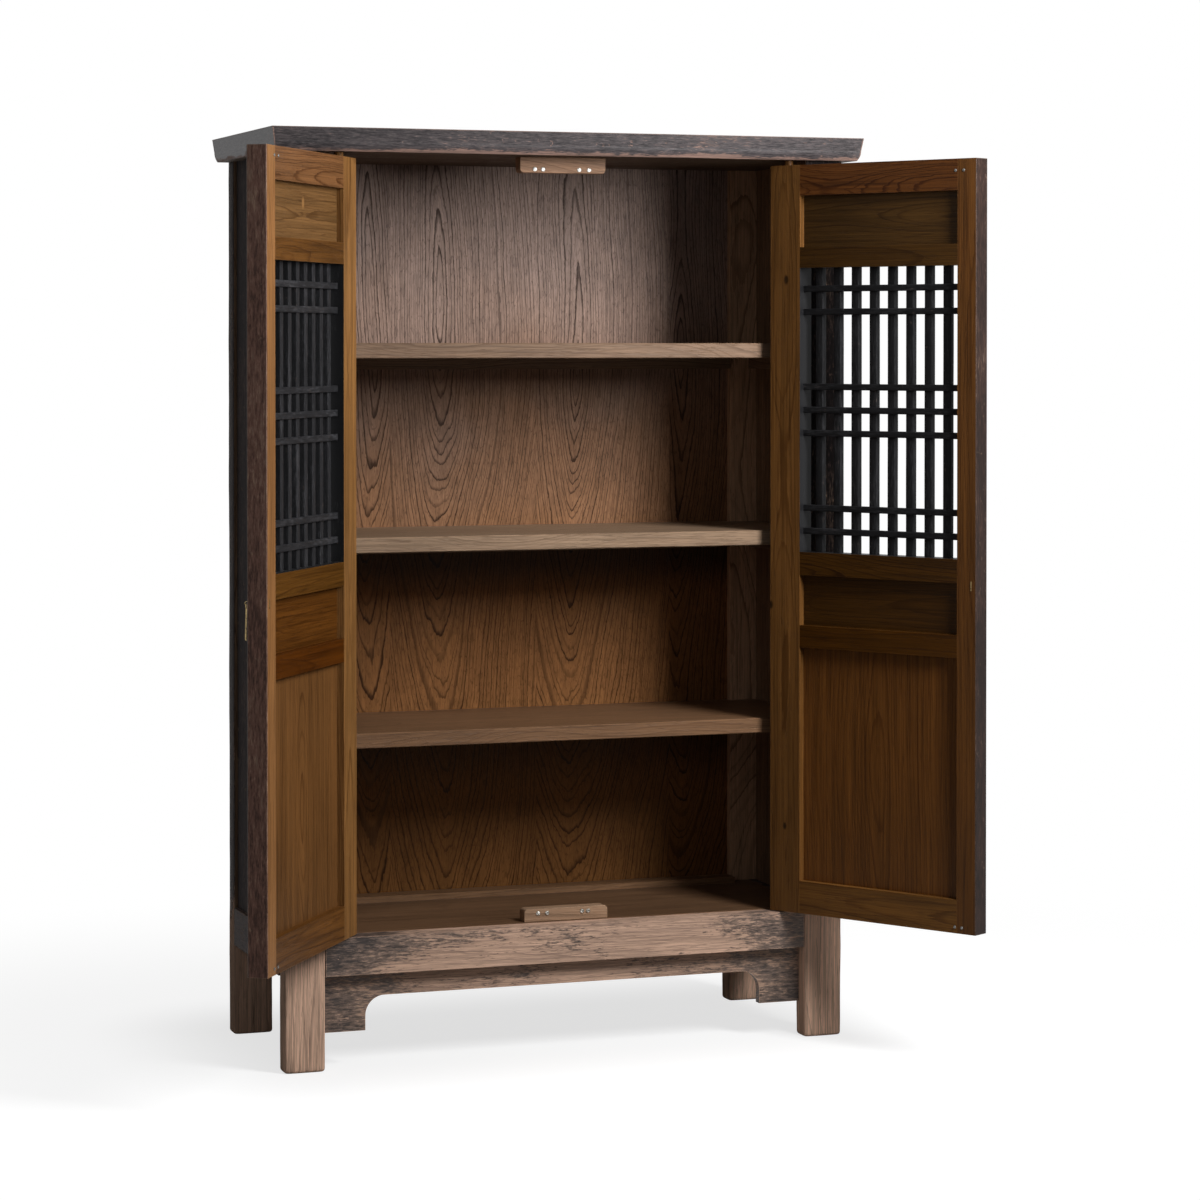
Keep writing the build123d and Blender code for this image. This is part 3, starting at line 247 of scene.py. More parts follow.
def timber_group():
    """Growth rings, fibres and pores, from a place in the trunk with Z along it."""
    wires, takes, gives = group(
        "timber",
        [("Place", "Vector"), ("Light", "Color"), ("Dark", "Color"),
         *((name, "Float") for name in TIMBER_FACTORS)],
        [("Color", "Color"), ("Height", "Float"), ("Fibre", "Float")],
    )
    place, light, dark = takes["Place"], takes["Light"], takes["Dark"]
    here = wires.vector("ADD", place, wires.scaled((3.1, 1.7, 5.3), takes["Seed"]))

    # The pith wanders, the rings waver, and they narrow to a peak ahead of the centre.
    wander = wires.shift(here, 1.0, 1.0, 0.35, (0.02, 0.02, 1.7))
    wander = wires.scaled(wander, wires.times(takes["Sway"], 4.0))
    drift = wires.shift(here, 9.0, 2.0, 0.5, (1, 1, 0.13))
    ripple = wires.shift(here, 62.0, 2.0, 0.6, (1, 1, 0.22))
    wobble = wires.vector("ADD", drift, wires.scaled(ripple, 0.13))
    wobble = wires.scaled(wobble, wires.times(takes["Figure"], 4.0))
    bent = wires.vector("ADD", place, wires.vector("ADD", wander, wobble))
    ahead = wires.larger(wires.split(place)["Z"], 0.0)
    bow = wires.made("ShaderNodeCombineXYZ", {"Y": wires.times(ahead, takes["Bow"])})
    apart = wires.split(wires.vector("ABSOLUTE", wires.vector("SUBTRACT", bent, bow)))
    peak = takes["Peak"]
    radius = wires.plus(wires.maths("POWER", apart["X"], peak), wires.maths("POWER", apart["Y"], peak))
    radius = wires.maths("POWER", radius, wires.maths("DIVIDE", 1.0, peak))

    # Years of uneven width, each paler or darker than the last.
    turn = wires.maths("DIVIDE", radius, takes["Ring"])
    uneven = {"W": wires.times(turn, 0.35), "Scale": 1.0, "Detail": 1.0}
    uneven = wires.put("ShaderNodeTexNoise", uneven, noise_dimensions="1D").outputs["Fac"]
    turn = wires.plus(turn, wires.times(uneven, 2.2))
    fibre = wires.noise(here, 300.0, 3.0, 0.68, (1, 1, 0.017))
    turn = wires.plus(turn, wires.line(fibre, 0.2, 0.8, -0.08, 0.08))
    saw = wires.maths("FRACT", turn)
    season = {"W": wires.maths("FLOOR", turn)}
    season = wires.put("ShaderNodeTexWhiteNoise", season, noise_dimensions="1D").outputs["Value"]
    late = wires.times(wires.rise(saw, 0.62, 0.93), wires.rise(saw, 1.0, 0.95))
    late = wires.times(late, wires.line(season, 0.0, 1.0, 0.45, 1.15))

    # Pores in the early wood, long dark veins, streaks and cloudy tone.
    streak = wires.noise(here, 80.0, 2.0, 0.6, (1, 1, 0.03))
    pore = wires.rise(wires.noise(here, 820.0, 1.0, 0.5, (1, 1, 0.05)), 0.54, 0.66)
    pore = wires.times(pore, wires.line(saw, 0.0, 0.6, 1.0, 0.25))
    vein = wires.minus(wires.noise(here, 190.0, 1.0, 0.5, (1, 1, 0.011)), 0.5)
    vein = wires.rise(wires.maths("ABSOLUTE", vein), 0.035, 0.008)
    cloud = wires.noise(here, 5.0, 3.0, 0.6, (1, 1, 0.4))
    ragged = wires.times(late, wires.line(fibre, 0.3, 0.7, 0.8, 1.15))
    paint = wires.mix(wires.times(ragged, takes["Contrast"], clamp=True), light, dark)
    paint = wires.mix(wires.times(pore, takes["Pores"]), paint, wires.scaled(dark, 0.55))
    paint = wires.mix(wires.times(vein, wires.times(takes["Streaks"], 1.1)), paint, dark)
    shade = wires.plus(wires.line(streak, 0.25, 0.75, -0.5, 0.5), wires.line(fibre, 0.25, 0.75, -0.6, 0.6))
    shade = wires.maths("MULTIPLY_ADD", shade, takes["Streaks"], 1.0)
    shade = wires.plus(shade, wires.times(wires.line(cloud, 0.25, 0.75, -1.0, 1.0), takes["Mottle"]))
    shade = wires.plus(shade, wires.line(season, 0.0, 1.0, 0.06, -0.06))
    wires.join(gives["Color"], wires.scaled(paint, wires.larger(shade, 0.08)))
    sunk = wires.plus(wires.times(pore, 0.8), wires.times(fibre, 0.35))
    wires.join(gives["Height"], wires.minus(wires.times(late, 0.5), sunk))
    wires.join(gives["Fibre"], fibre)
    return wires.tree


def edge_group():
    """How near a sharp outer edge a place is, 1 at the edge."""
    wires, takes, gives = group("rubbed_edge", [("Radius", "Float")], [("Edge", "Float")])
    rounded = wires.put("ShaderNodeBevel", {"Radius": takes["Radius"]}, samples=4).outputs["Normal"]
    flat = wires.put("ShaderNodeNewGeometry").outputs["Normal"]
    bend = wires.minus(1.0, wires.vector("DOT_PRODUCT", rounded, flat))
    wires.join(gives["Edge"], wires.rise(bend, 0.01, 0.22))
    return wires.tree


def worn_group():
    """Lacquer rubbed thin, scratched and worn through at the edges, over timber."""
    factors = ("Edge", "Loss", "Patches", "Strokes", "Fibre", "Seed")
    paints = ("Lacquer", "Rubbed", "Wood")
    wires, takes, gives = group(
        "worn_lacquer",
        [("Place", "Vector"), *((name, "Float") for name in factors),
         *((name, "Color") for name in paints)],
        [("Color", "Color"), ("Bare", "Float"), ("Height", "Float")],
    )
    place = wires.vector("ADD", takes["Place"], wires.scaled((2.3, 4.1, 1.9), takes["Seed"]))
    patch = wires.noise(place, 11.0, 5.0, 0.62, (1, 1, 0.45))
    stroke = wires.noise(place, 250.0, 4.0, 0.72, (1, 1, 0.17))
    grit = wires.noise(place, 520.0, 2.0, 0.6, (1, 1, 0.16))
    mark = wires.noise(wires.vector("ADD", place, (3.1, 1.7, 0.4)), 60.0, 3.0, 0.6, (1, 1, 0.9))
    nick = wires.times(wires.rise(mark, 0.63, 0.68), wires.rise(grit, 0.45, 0.6))
    nick = wires.times(nick, wires.rise(takes["Loss"], -0.25, 0.05))
    loss = takes["Loss"]
    for wear_kind, weight in ((patch, takes["Patches"]), (stroke, takes["Strokes"]), (grit, 0.5)):
        loss = wires.plus(loss, wires.times(wires.minus(wear_kind, 0.5), weight))
    loss = wires.plus(loss, wires.times(takes["Edge"], 0.42))
    bare = wires.larger(wires.rise(loss, 0.12, 0.30), wires.times(nick, 0.8))
    bare = wires.times(bare, wires.line(takes["Fibre"], 0.35, 0.6, 0.7, 1.0))
    coat = wires.mix(wires.rise(loss, -0.14, 0.14), takes["Lacquer"], takes["Rubbed"])
    coat = wires.scaled(coat, wires.line(stroke, 0.3, 0.7, 0.65, 1.4))
    wires.join(gives["Color"], wires.mix(bare, coat, takes["Wood"]))
    wires.join(gives["Bare"], bare)
    sunk = wires.plus(wires.times(bare, 0.7), wires.times(grit, 0.25))
    wires.join(gives["Height"], wires.minus(wires.times(stroke, 0.5), sunk))
    return wires.tree


SHARED_GROUPS = {}


class Finish(Wiring):
    """A material being made, with its shader and the places that it reads."""

    def __init__(self, name, specular):
        self.material = bpy.data.materials.new(name)
        self.material.use_nodes = True
        super().__init__(self.material.node_tree)
        self.tree.nodes.clear()
        self.shader = self.put("ShaderNodeBsdfPrincipled")
        self.shader.inputs["Specular IOR Level"].default_value = specular
        self.put("ShaderNodeOutputMaterial", {"Surface": self.shader.outputs[0]})
        places = self.put("ShaderNodeTexCoord").outputs
        self.here, self.normal = places["Object"], places["Normal"]
        self.height = self.split(self.here)["Z"]

    def use(self, make, sockets):
        """Puts a group that all materials share, and sets or joins its sockets."""
        if make not in SHARED_GROUPS:
            SHARED_GROUPS[make] = make()
        node = self.put("ShaderNodeGroup", node_tree=SHARED_GROUPS[make])
        for key, value in sockets.items():
            self.join(node.inputs[key], value)
        return node.outputs

    def trunk(self, centre, turn):
        """Places in the trunk that a piece was cut from: centre is on the pith."""
        sockets = {"Vector": self.here, "Location": tuple(centre), "Rotation": turn}
        return self.made("ShaderNodeMapping", sockets, vector_type="TEXTURE")

    def timber(self, place, light, dark, ring=0.006, sway=0.03, figure=0.006, contrast=0.8, pores=0.4,
               streaks=0.3, mottle=0.2, peak=2.0, bow=0.0, seed=0.0):
        """Timber at a place in its trunk, between a light early and a dark late wood."""
        factors = (ring, sway, figure, contrast, pores, streaks, mottle, peak, bow, seed)
        sockets = {"Place": place, "Light": light, "Dark": dark, **dict(zip(TIMBER_FACTORS, factors))}
        return self.use(timber_group, sockets)

    def edges(self, radius):
        """1 at sharp edges, and 0 away from them."""
        return self.use(edge_group, {"Radius": radius})["Edge"]

    def facing(self, direction):
        """1 on faces that point along a direction."""
        return self.maths("GREATER_THAN", self.vector("DOT_PRODUCT", self.normal, tuple(direction)), 0.7)

    def end(self, paint, roughness, relief, strength, depth):
        """Joins the colour, the roughness and the bump, and gives the material."""
        bump = self.made("ShaderNodeBump", {"Strength": strength, "Distance": depth, "Height": relief})
        for key, value in (("Base Color", paint), ("Roughness", roughness), ("Normal", bump)):
            self.join(self.shader.inputs[key], value)
        return self.material


ACROSS = math.pi / 2  # the yaw of pieces that run from front to back


def upright_grain(yaw=0.0, lean=0.0, sway=0.0):
    """Turns a trunk to stand along an upright piece."""
    return (lean, sway, yaw)


def level_grain(yaw=0.0, lean=0.0, sway=0.0):
    """Turns a trunk to lie along a level piece, at a yaw from the right."""
    return (lean, math.pi / 2 + sway, yaw)


def front_tint_and_shade(wood, paint, patina_and_sheen, painted_shelf_shade):
    """Tints front faces by their height, from a list of (height, tint) whose pale grey high up is partly a
    painted sheen, and paints a shade under the shelves from a list of (height, reach, shade). Other faces
    are plainly darker."""
    low, high = patina_and_sheen[0][0], patina_and_sheen[-1][0]
    cloud = wood.noise(wood.here, 3.0, 3.0, 0.6)
    cloudy_height = wood.plus(wood.height, wood.line(cloud, 0.25, 0.75, -0.12, 0.12))
    ramp = wood.put("ShaderNodeValToRGB", {0: wood.line(cloudy_height, low, high)})
    stops = ramp.color_ramp.elements
    for n, (level, tint) in enumerate(patina_and_sheen):
        stop = stops[n] if n < 2 else stops.new(1.0)
        stop.position, stop.color = (level - low) / (high - low), (*tint, 1.0)
    tinted_and_shaded = wood.mix(1.0, paint, ramp.outputs[0], "MULTIPLY")
    # painted shade under each shelf
    for level, reach, shade in painted_shelf_shade:
        under = wood.rise(wood.height, level - reach, level - SHELF_SHADOW, 0.0, 1.0 - shade)
        under = wood.times(under, wood.maths("LESS_THAN", wood.height, level + 0.01))
        tinted_and_shaded = wood.scaled(tinted_and_shaded, wood.minus(1.0, under))
    return wood.mix(wood.facing(-BACK), wood.scaled(paint, 0.75), tinted_and_shaded)


def oiled_wood(name, light, dark, centre, turn, gloss=0.45, bump=0.0006, edge=None, edge_radius=0.003,
               patina_and_sheen=None, painted_shelf_shade=(), specular=0.15, **grain):
    """Bare or oiled wood with its rings, fibres and pores, and a paler edge where one is given."""
    wood = Finish(name, specular)
    plain = wood.timber(wood.trunk(centre, turn), light, dark, **grain)
    paint, fibre = plain["Color"], plain["Fibre"]
    # the height tint, whose grey top is partly a painted sheen, and the painted shade under the shelves
    if patina_and_sheen is not None:
        paint = front_tint_and_shade(wood, paint, patina_and_sheen, painted_shelf_shade)
    if edge is not None:
        rub = wood.times(wood.edges(edge_radius), wood.line(fibre, 0.3, 0.7, 0.25, 0.9))
        paint = wood.mix(rub, paint, edge)
    roughness = wood.line(fibre, 0.2, 0.8, gloss - 0.06, gloss + 0.14)
    return wood.end(paint, roughness, plain["Height"], 0.6, bump)


def lacquered_wood(name, finishes, centre, turn, loss=0.0, low_loss=None, ends=None, inside=(), seed=0.0,
                   gloss=0.42, bump=0.0007, wood=None, lacquer=None, rubbed=None, edge_radius=None,
                   patches=0.9, strokes=0.75, brown=1.0, streaks=0.45, specular=0.25):
    """Old lacquer over wood. low_loss gives (height, more loss below it, blur), ends gives (middle, half
    length, less loss past it), and faces along the inside directions are bare brown wood above the
    bottom board."""
    coat = Finish(name, specular)
    place = coat.trunk(centre, turn)
    under = coat.timber(place, wood or finishes.bare_edge, finishes.weathered_stain, sway=0.02,
                        figure=0.008, contrast=0.3, streaks=streaks, mottle=0.15, seed=seed)
    lost = loss
    if low_loss is not None:
        level, more, blur = low_loss
        patch = coat.noise(coat.here, 14.0, 3.0, 0.6)
        up = coat.plus(coat.height, coat.line(patch, 0.2, 0.8, -blur, blur))
        lost = coat.rise(up, level - blur, level + blur, loss + more, loss)
    if ends is not None:
        core, reach, less = ends
        out = coat.maths("ABSOLUTE", coat.minus(coat.split(coat.here)["X"], core))
        lost = coat.rise(out, reach - 0.22, reach + 0.02, loss, loss - less)
    worn = coat.use(worn_group, {
        "Place": place, "Edge": coat.edges(edge_radius or finishes.edge_wear), "Loss": lost,
        "Patches": patches, "Strokes": strokes, "Lacquer": lacquer or finishes.lacquer,
        "Rubbed": rubbed or finishes.lacquer_rubbed, "Wood": under["Color"], "Fibre": under["Fibre"],
        "Seed": seed})
    paint, relief = worn["Color"], coat.plus(worn["Height"], coat.times(under["Height"], 0.5))
    if inside:
        mask = coat.facing(inside[0])
        for direction in inside[1:]:
            mask = coat.larger(mask, coat.facing(direction))
        mask = coat.times(mask, coat.maths("GREATER_THAN", coat.height, BOARD_LEVEL))
        light, dark = tinted(finishes.inside_light, brown), tinted(finishes.inside_dark, brown)
        plain = coat.timber(place, light, dark, pores=0.5, streaks=0.4, seed=seed + 0.5)
        paint, relief = coat.mix(mask, paint, plain["Color"]), coat.blend(mask, relief, plain["Height"])
    roughness = coat.line(worn["Bare"], 0.0, 1.0, gloss, gloss + 0.28)
    return coat.end(paint, roughness, relief, 0.7, bump)


def metal(name, paint, dark, gloss, tarnish, low_tarnish=None):
    """Plated or darkened metal with fine scratches. low_tarnish gives (height, more tarnish below it)."""
    plate = Finish(name, 0.5)
    stain = plate.noise(plate.here, 260.0, 4.0, 0.6)
    scratch = plate.noise(plate.here, 1400.0, 2.0, 0.6, (1, 0.2, 0.2))
    dull = plate.plus(stain, tarnish)
    if low_tarnish is not None:
        level, more = low_tarnish
        dull = plate.plus(dull, plate.line(plate.height, level - 0.01, level + 0.01, more, 0.0))
    plate.shader.inputs["Metallic"].default_value = 1.0
    roughness = plate.line(plate.plus(dull, scratch), 0.7, 1.3, gloss, gloss + 0.25)
    paint = plate.mix(plate.rise(dull, 0.58, 0.82), paint, dark)
    return plate.end(paint, roughness, scratch, 0.35, 0.0002)


def wear(node, material):
    """Puts a material on every slot of a CAD node."""
    mesh = NODES[node].data
    if not mesh.materials:
        mesh.materials.append(material)
    for slot in range(len(mesh.materials)):
        mesh.materials[slot] = material


def pith(node, *off):
    """A place on the pith of a node's trunk, off the node's middle."""
    low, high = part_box(node)
    return (low + high) / 2 + Vector(off)


def keep_piece(mesh, name, body, node, material=None):
    """Makes a mesh a piece that rides on a body and stands for a CAD node."""
    piece = bpy.data.objects.new(name, mesh)
    bpy.context.scene.collection.objects.link(piece)
    if material is not None:
        mesh.materials.clear()
        mesh.materials.append(material)
    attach(piece, body)
    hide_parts(node)


def finish_mesh(work, name):
    """Turns what was worked into a mesh."""
    mesh = bpy.data.meshes.new(name)
    work.to_mesh(mesh)
    work.free()
    return mesh


def skin_rings(work, rings):
    """Joins rings of corners one above the other, and closes the lowest."""
    count = len(rings[0])
    for low, high in zip(rings, rings[1:]):
        for k in range(count):
            work.faces.new((low[k], low[(k + 1) % count], high[(k + 1) % count], high[k]))
    work.faces.new(list(reversed(rings[0])))


def loose_parts(node, across, out):
    """The low and high corners of a CAD node's separate solids, along across, out and up."""
    work = bmesh.new()
    work.from_mesh(NODES[node].data)
    bmesh.ops.remove_doubles(work, verts=work.verts, dist=1e-6)
    seen, parts = set(), []
    for start in work.verts:
        if start in seen:
            continue
        seen.add(start)
        stack, corners = [start], []
        while stack:
            vertex = stack.pop()
            corners.append((vertex.co.dot(across), vertex.co.dot(out), vertex.co.z))
            near = {edge.other_vert(vertex) for edge in vertex.link_edges} - seen
            seen |= near
            stack += near
        parts.append(tuple(Vector([pick(axis) for axis in zip(*corners)]) for pick in (min, max)))
    work.free()
    return parts


class Tree:
    """A Geometry Nodes tree with named inputs."""

    def __init__(self, name, takes):
        self.tree = bpy.data.node_groups.new(name, "GeometryNodeTree")
        add_sockets(self.tree, [("Geometry", "Geometry", None)], "OUTPUT")
        takes = [("Geometry", "Geometry", None), *takes, ("Material", "Material", None)]
        self.keys = add_sockets(self.tree, takes)
        self.wires = Wiring(self.tree)
        self.takes = self.wires.put("NodeGroupInput").outputs

    def end(self, geometry):
        """Realizes the instances and sets the material, then joins the output."""
        whole = self.wires.made("GeometryNodeRealizeInstances", {0: geometry})
        dressed = {"Geometry": whole, "Material": self.takes["Material"]}
        dressed = self.wires.made("GeometryNodeSetMaterial", dressed)
        self.wires.put("NodeGroupOutput", {0: dressed})

    def grow(self, seed_mesh, name, inputs):
        """Runs the tree on a mesh and gives the plain mesh that it makes."""
        holder = bpy.data.objects.new(f"{name}_making", seed_mesh)
        bpy.context.scene.collection.objects.link(holder)
        modifier = holder.modifiers.new("making", "NODES")
        modifier.node_group = self.tree
        for label, value in inputs.items():
            modifier[self.keys[label]] = value
        shaped = holder.evaluated_get(bpy.context.evaluated_depsgraph_get())
        mesh = bpy.data.meshes.new_from_object(shaped)
        mesh.name = name
        holder.modifiers.clear()
        bpy.data.objects.remove(holder)
        if len(mesh.polygons) == 0:
            raise RuntimeError(f"{name} came out empty")
        return mesh


BAR_SEED, SPIN_SEED = 3, 5


def bar_tree():
    """Lattice bars: each edge becomes a bar with worn corners and a hand-planed waver."""
    tree = Tree("lattice_bars", [
        ("Width", "Float", 0.0125), ("Depth", "Float", 0.0125), ("Rounding", "Float", 0.0015),
        ("Waver", "Float", 0.0008), ("Seed", "Int", BAR_SEED)])
    wires, takes = tree.wires, tree.takes
    lines = wires.made("GeometryNodeMeshToCurve", {"Mesh": takes["Geometry"]})
    lines = wires.made("GeometryNodeResampleCurve", {"Curve": lines, "Count": 25})
    section = {"Width": takes["Width"], "Height": takes["Depth"]}
    section = wires.made("GeometryNodeCurvePrimitiveQuadrilateral", section)
    section = {"Curve": section, "Count": 3, "Radius": takes["Rounding"], "Limit Radius": True}
    section = wires.made("GeometryNodeFilletCurve", section, mode="POLY")
    bars = {"Curve": lines, "Profile Curve": section, "Fill Caps": True}
    bars = wires.made("GeometryNodeCurveToMesh", bars)
    here = wires.made("GeometryNodeInputPosition")
    stirred = {"Vector": here, "W": takes["Seed"], "Scale": 9.0, "Detail": 1.0}
    stirred = wires.put("ShaderNodeTexNoise", stirred, noise_dimensions="4D").outputs["Color"]
    waver = wires.scaled(wires.vector("SUBTRACT", stirred, (0.5, 0.5, 0.5)), takes["Waver"])
    tree.end(wires.made("GeometryNodeSetPosition", {"Geometry": bars, "Offset": waver}))
    return tree


def head_tree():
    """Screw heads: a head on every point, turned along its axis and spun by chance."""
    tree = Tree("screw_heads", [
        ("Head", "Object", None), ("Radius", "Float", 0.0045), ("Seed", "Int", SPIN_SEED)])
    wires, takes = tree.wires, tree.takes
    head = wires.put("GeometryNodeObjectInfo", {"Object": takes["Head"]}).outputs["Geometry"]
    axis = wires.made("GeometryNodeInputNamedAttribute", {"Name": "axis"}, data_type="FLOAT_VECTOR")
    turn = wires.made("FunctionNodeAlignRotationToVector", {"Vector": axis}, axis="Z")
    spin = {"Min": 0.0, "Max": 6.28, "Seed": takes["Seed"]}
    spin = wires.put("FunctionNodeRandomValue", spin, data_type="FLOAT").outputs[1]
    spin = wires.made("ShaderNodeCombineXYZ", {"Z": spin})
    turn = {"Rotation": turn, "Rotate By": spin}
    turn = wires.made("FunctionNodeRotateRotation", turn, rotation_space="LOCAL")
    placed = {"Points": takes["Geometry"], "Instance": head, "Rotation": turn, "Scale": takes["Radius"]}
    tree.end(wires.made("GeometryNodeInstanceOnPoints", placed))
    return tree


def head_mesh():
    """A domed head of radius 1 with a cross recess, seated at z 0."""
    work = bmesh.new()
    radii, sides = (1.0, 0.97, 0.88, 0.76, 0.64, 0.52, 0.42, 0.33, 0.25, 0.17, 0.09), 48
    rim, dome, recess, arm_half, arm_length = 0.16, 0.36, 0.26, 0.17, 0.60

    def height(x, y):
        swell = rim + dome * math.sqrt(max(0.0, 1.0 - (x * x + y * y) / 1.02))
        beside = min(1.0, (arm_half - min(abs(x), abs(y))) / 0.06)
        inside = min(1.0, (arm_length - math.hypot(x, y)) / 0.12)
        return swell - recess * max(0.0, beside) * max(0.0, inside)

    around = [(math.cos(2 * math.pi * k / sides), math.sin(2 * math.pi * k / sides)) for k in range(sides)]
    rings = [[work.verts.new((x, y, 0.0)) for x, y in around]]
    for r in radii:
        rings.append([work.verts.new((r * x, r * y, height(r * x, r * y))) for x, y in around])
    skin_rings(work, rings)
    top = work.verts.new((0, 0, height(0, 0)))
    for k in range(sides):
        work.faces.new((rings[-1][k], rings[-1][(k + 1) % sides], top))
    mesh = finish_mesh(work, "screw_head")
    mesh.shade_smooth()
    return mesh


def eased_block(name, node, side, radius=0.008, ease=0.0011):
    """A block with two rounded corners, low ones for a side of -1 or high ones for 1, and eased edges."""
    low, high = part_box(node)
    work = bmesh.new()
    bmesh.ops.create_cube(work, size=1.0)
    for vertex in work.verts:
        vertex.co = (low + high) / 2 + vertex.co * (high - low)
    level = high.z if side > 0 else low.z
    corners = []
    for edge in work.edges:
        first, last = (vertex.co for vertex in edge.verts)
        if max(abs(first.z - level), abs(last.z - level), abs(first.x - last.x)) < 1e-6:
            corners.append(edge)
    bevel = {"profile": 0.5, "affect": "EDGES", "clamp_overlap": True}
    bmesh.ops.bevel(work, geom=corners, offset=radius, segments=7, **bevel)
    sharp = [edge for edge in work.edges if len(edge.link_faces) == 2 and edge.calc_face_angle() > 0.6]
    bmesh.ops.bevel(work, geom=sharp, offset=ease, segments=2, **bevel)
    return finish_mesh(work, name)


def post_section(half, rounding, arc=5):
    """Points around a post with round arrises, and three points along each face."""
    arcs = []
    for quarter, (sx, sy) in enumerate(((1, 1), (-1, 1), (-1, -1), (1, -1))):
        core = Vector((sx * (half.x - rounding), sy * (half.y - rounding)))
        turns = [math.pi / 2 * (quarter + k / (arc - 1)) for k in range(arc)]
        arcs.append([core + rounding * Vector((math.cos(a), math.sin(a))) for a in turns])
    points = []
    for n, bend in enumerate(arcs):
        points += bend + [bend[-1].lerp(arcs[(n + 1) % 4][0], f) for f in (0.25, 0.5, 0.75)]
    return points


def worn_post(name, node, sizes, seed):
    """An upright with rounded arrises, rounder at the foot, and faces that hand tools left uneven."""
    low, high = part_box(node)
    centre, half, length = (low + high) / 2, (high - low) / 2, high.z - low.z
    sole, taper, step = 0.006, 0.16, 0.012
    levels = [0.0, 0.1 * sole, 0.3 * sole, 0.6 * sole, sole]
    levels += [step * (k + 1) for k in range(int((length - 0.02) / step))] + [length]
    work, rings = bmesh.new(), []
    for up in levels:
        foot = max(0.0, 1.0 - up / sole)
        rounder = (sizes.foot_rounding - sizes.post_rounding) * max(0.0, 1.0 - up / taper)
        inset = sizes.foot_rounding * 0.8 * (1.0 - math.sqrt(max(0.0, 1.0 - foot * foot)))
        ring = []
        for x, y in post_section(half, sizes.post_rounding + rounder):
            wide = noise.noise(Vector((x * 11.0 + seed * 7.3, y * 11.0 + seed * 3.1, up * 4.5)))
            fine = noise.noise(Vector((x * 40.0 + seed, y * 40.0, up * 26.0)))
            corner = max(0.0, abs(x) / half.x + abs(y) / half.y - 1.6) / 0.4
            rub = sizes.post_waver * (0.5 + 0.5 * wide + 0.35 * (0.5 + 0.5 * fine)) * (1.0 + 2.2 * corner)
            x, y = x * (1 - (inset + rub) / half.x), y * (1 - (inset + rub) / half.y)
            ring.append(work.verts.new((centre.x + x, centre.y + y, low.z + up)))
        rings.append(ring)
    skin_rings(work, rings)
    work.faces.new(rings[-1])
    mesh = finish_mesh(work, name)
    mesh.shade_smooth()
    mesh.set_sharp_from_angle(angle=math.radians(50))
    return mesh


# Where the wear of the carcass changes: heights, blurs and reaches.
BOARD_LEVEL = 0.256
FOOT_LEVEL, FOOT_BLUR = 0.262, 0.05
TOP_LIP, TOP_BLUR = 0.006, 0.005
RAIL_MIDDLE, RAIL_REACH = 0.012, 0.47

# The posts: the faces that look inwards, the loss at the foot, the tone of the bare foot and of the inside.
POSTS = {
    "front_left": ((RIGHT, BACK), 0.78, 1.3, 1.0),
    # The front-right foot's paler bare tone is partly painted light, making up for the lamp light that the
    # right door's shadow keeps off it.
    "front_right": ((-RIGHT, BACK), 0.78, 1.5, 1.0),
    "rear_left": ((RIGHT, -BACK), 0.70, 1.4, 1.0),
    "rear_right": ((-RIGHT, -BACK), 0.70, 1.45, 2.5),
}
POST_WEAR = {"loss": -0.16, "strokes": 1.1, "streaks": 0.28, "rubbed": (0.10, 0.07, 0.056), "gloss": 0.6,
             "specular": 0.03}
# The top's members: yaw and loss of lacquer.
TOPS = {"top_front_rail": (0.0, 0.05), "top_rear_rail": (0.0, 0.0), "top_left_rail": (ACROSS, 0.0),
        "top_right_rail": (ACROSS, 0.03), "top_board": (0.0, 0.0)}
TOP_WEAR = {"lacquer": (0.018, 0.0155, 0.017), "rubbed": (0.055, 0.046, 0.047), "wood": (0.24, 0.15, 0.12),
            "strokes": 0.55, "patches": 0.5, "specular": 0.17, "brown": 0.48}
FRONT_WEAR = {"loss": 0.38, "ends": (RAIL_MIDDLE, RAIL_REACH, 0.36), "lacquer": (0.045, 0.035, 0.032),
              "rubbed": (0.17, 0.12, 0.095), "strokes": 1.1, "patches": 1.2, "streaks": 0.3, "bump": 0.0012}


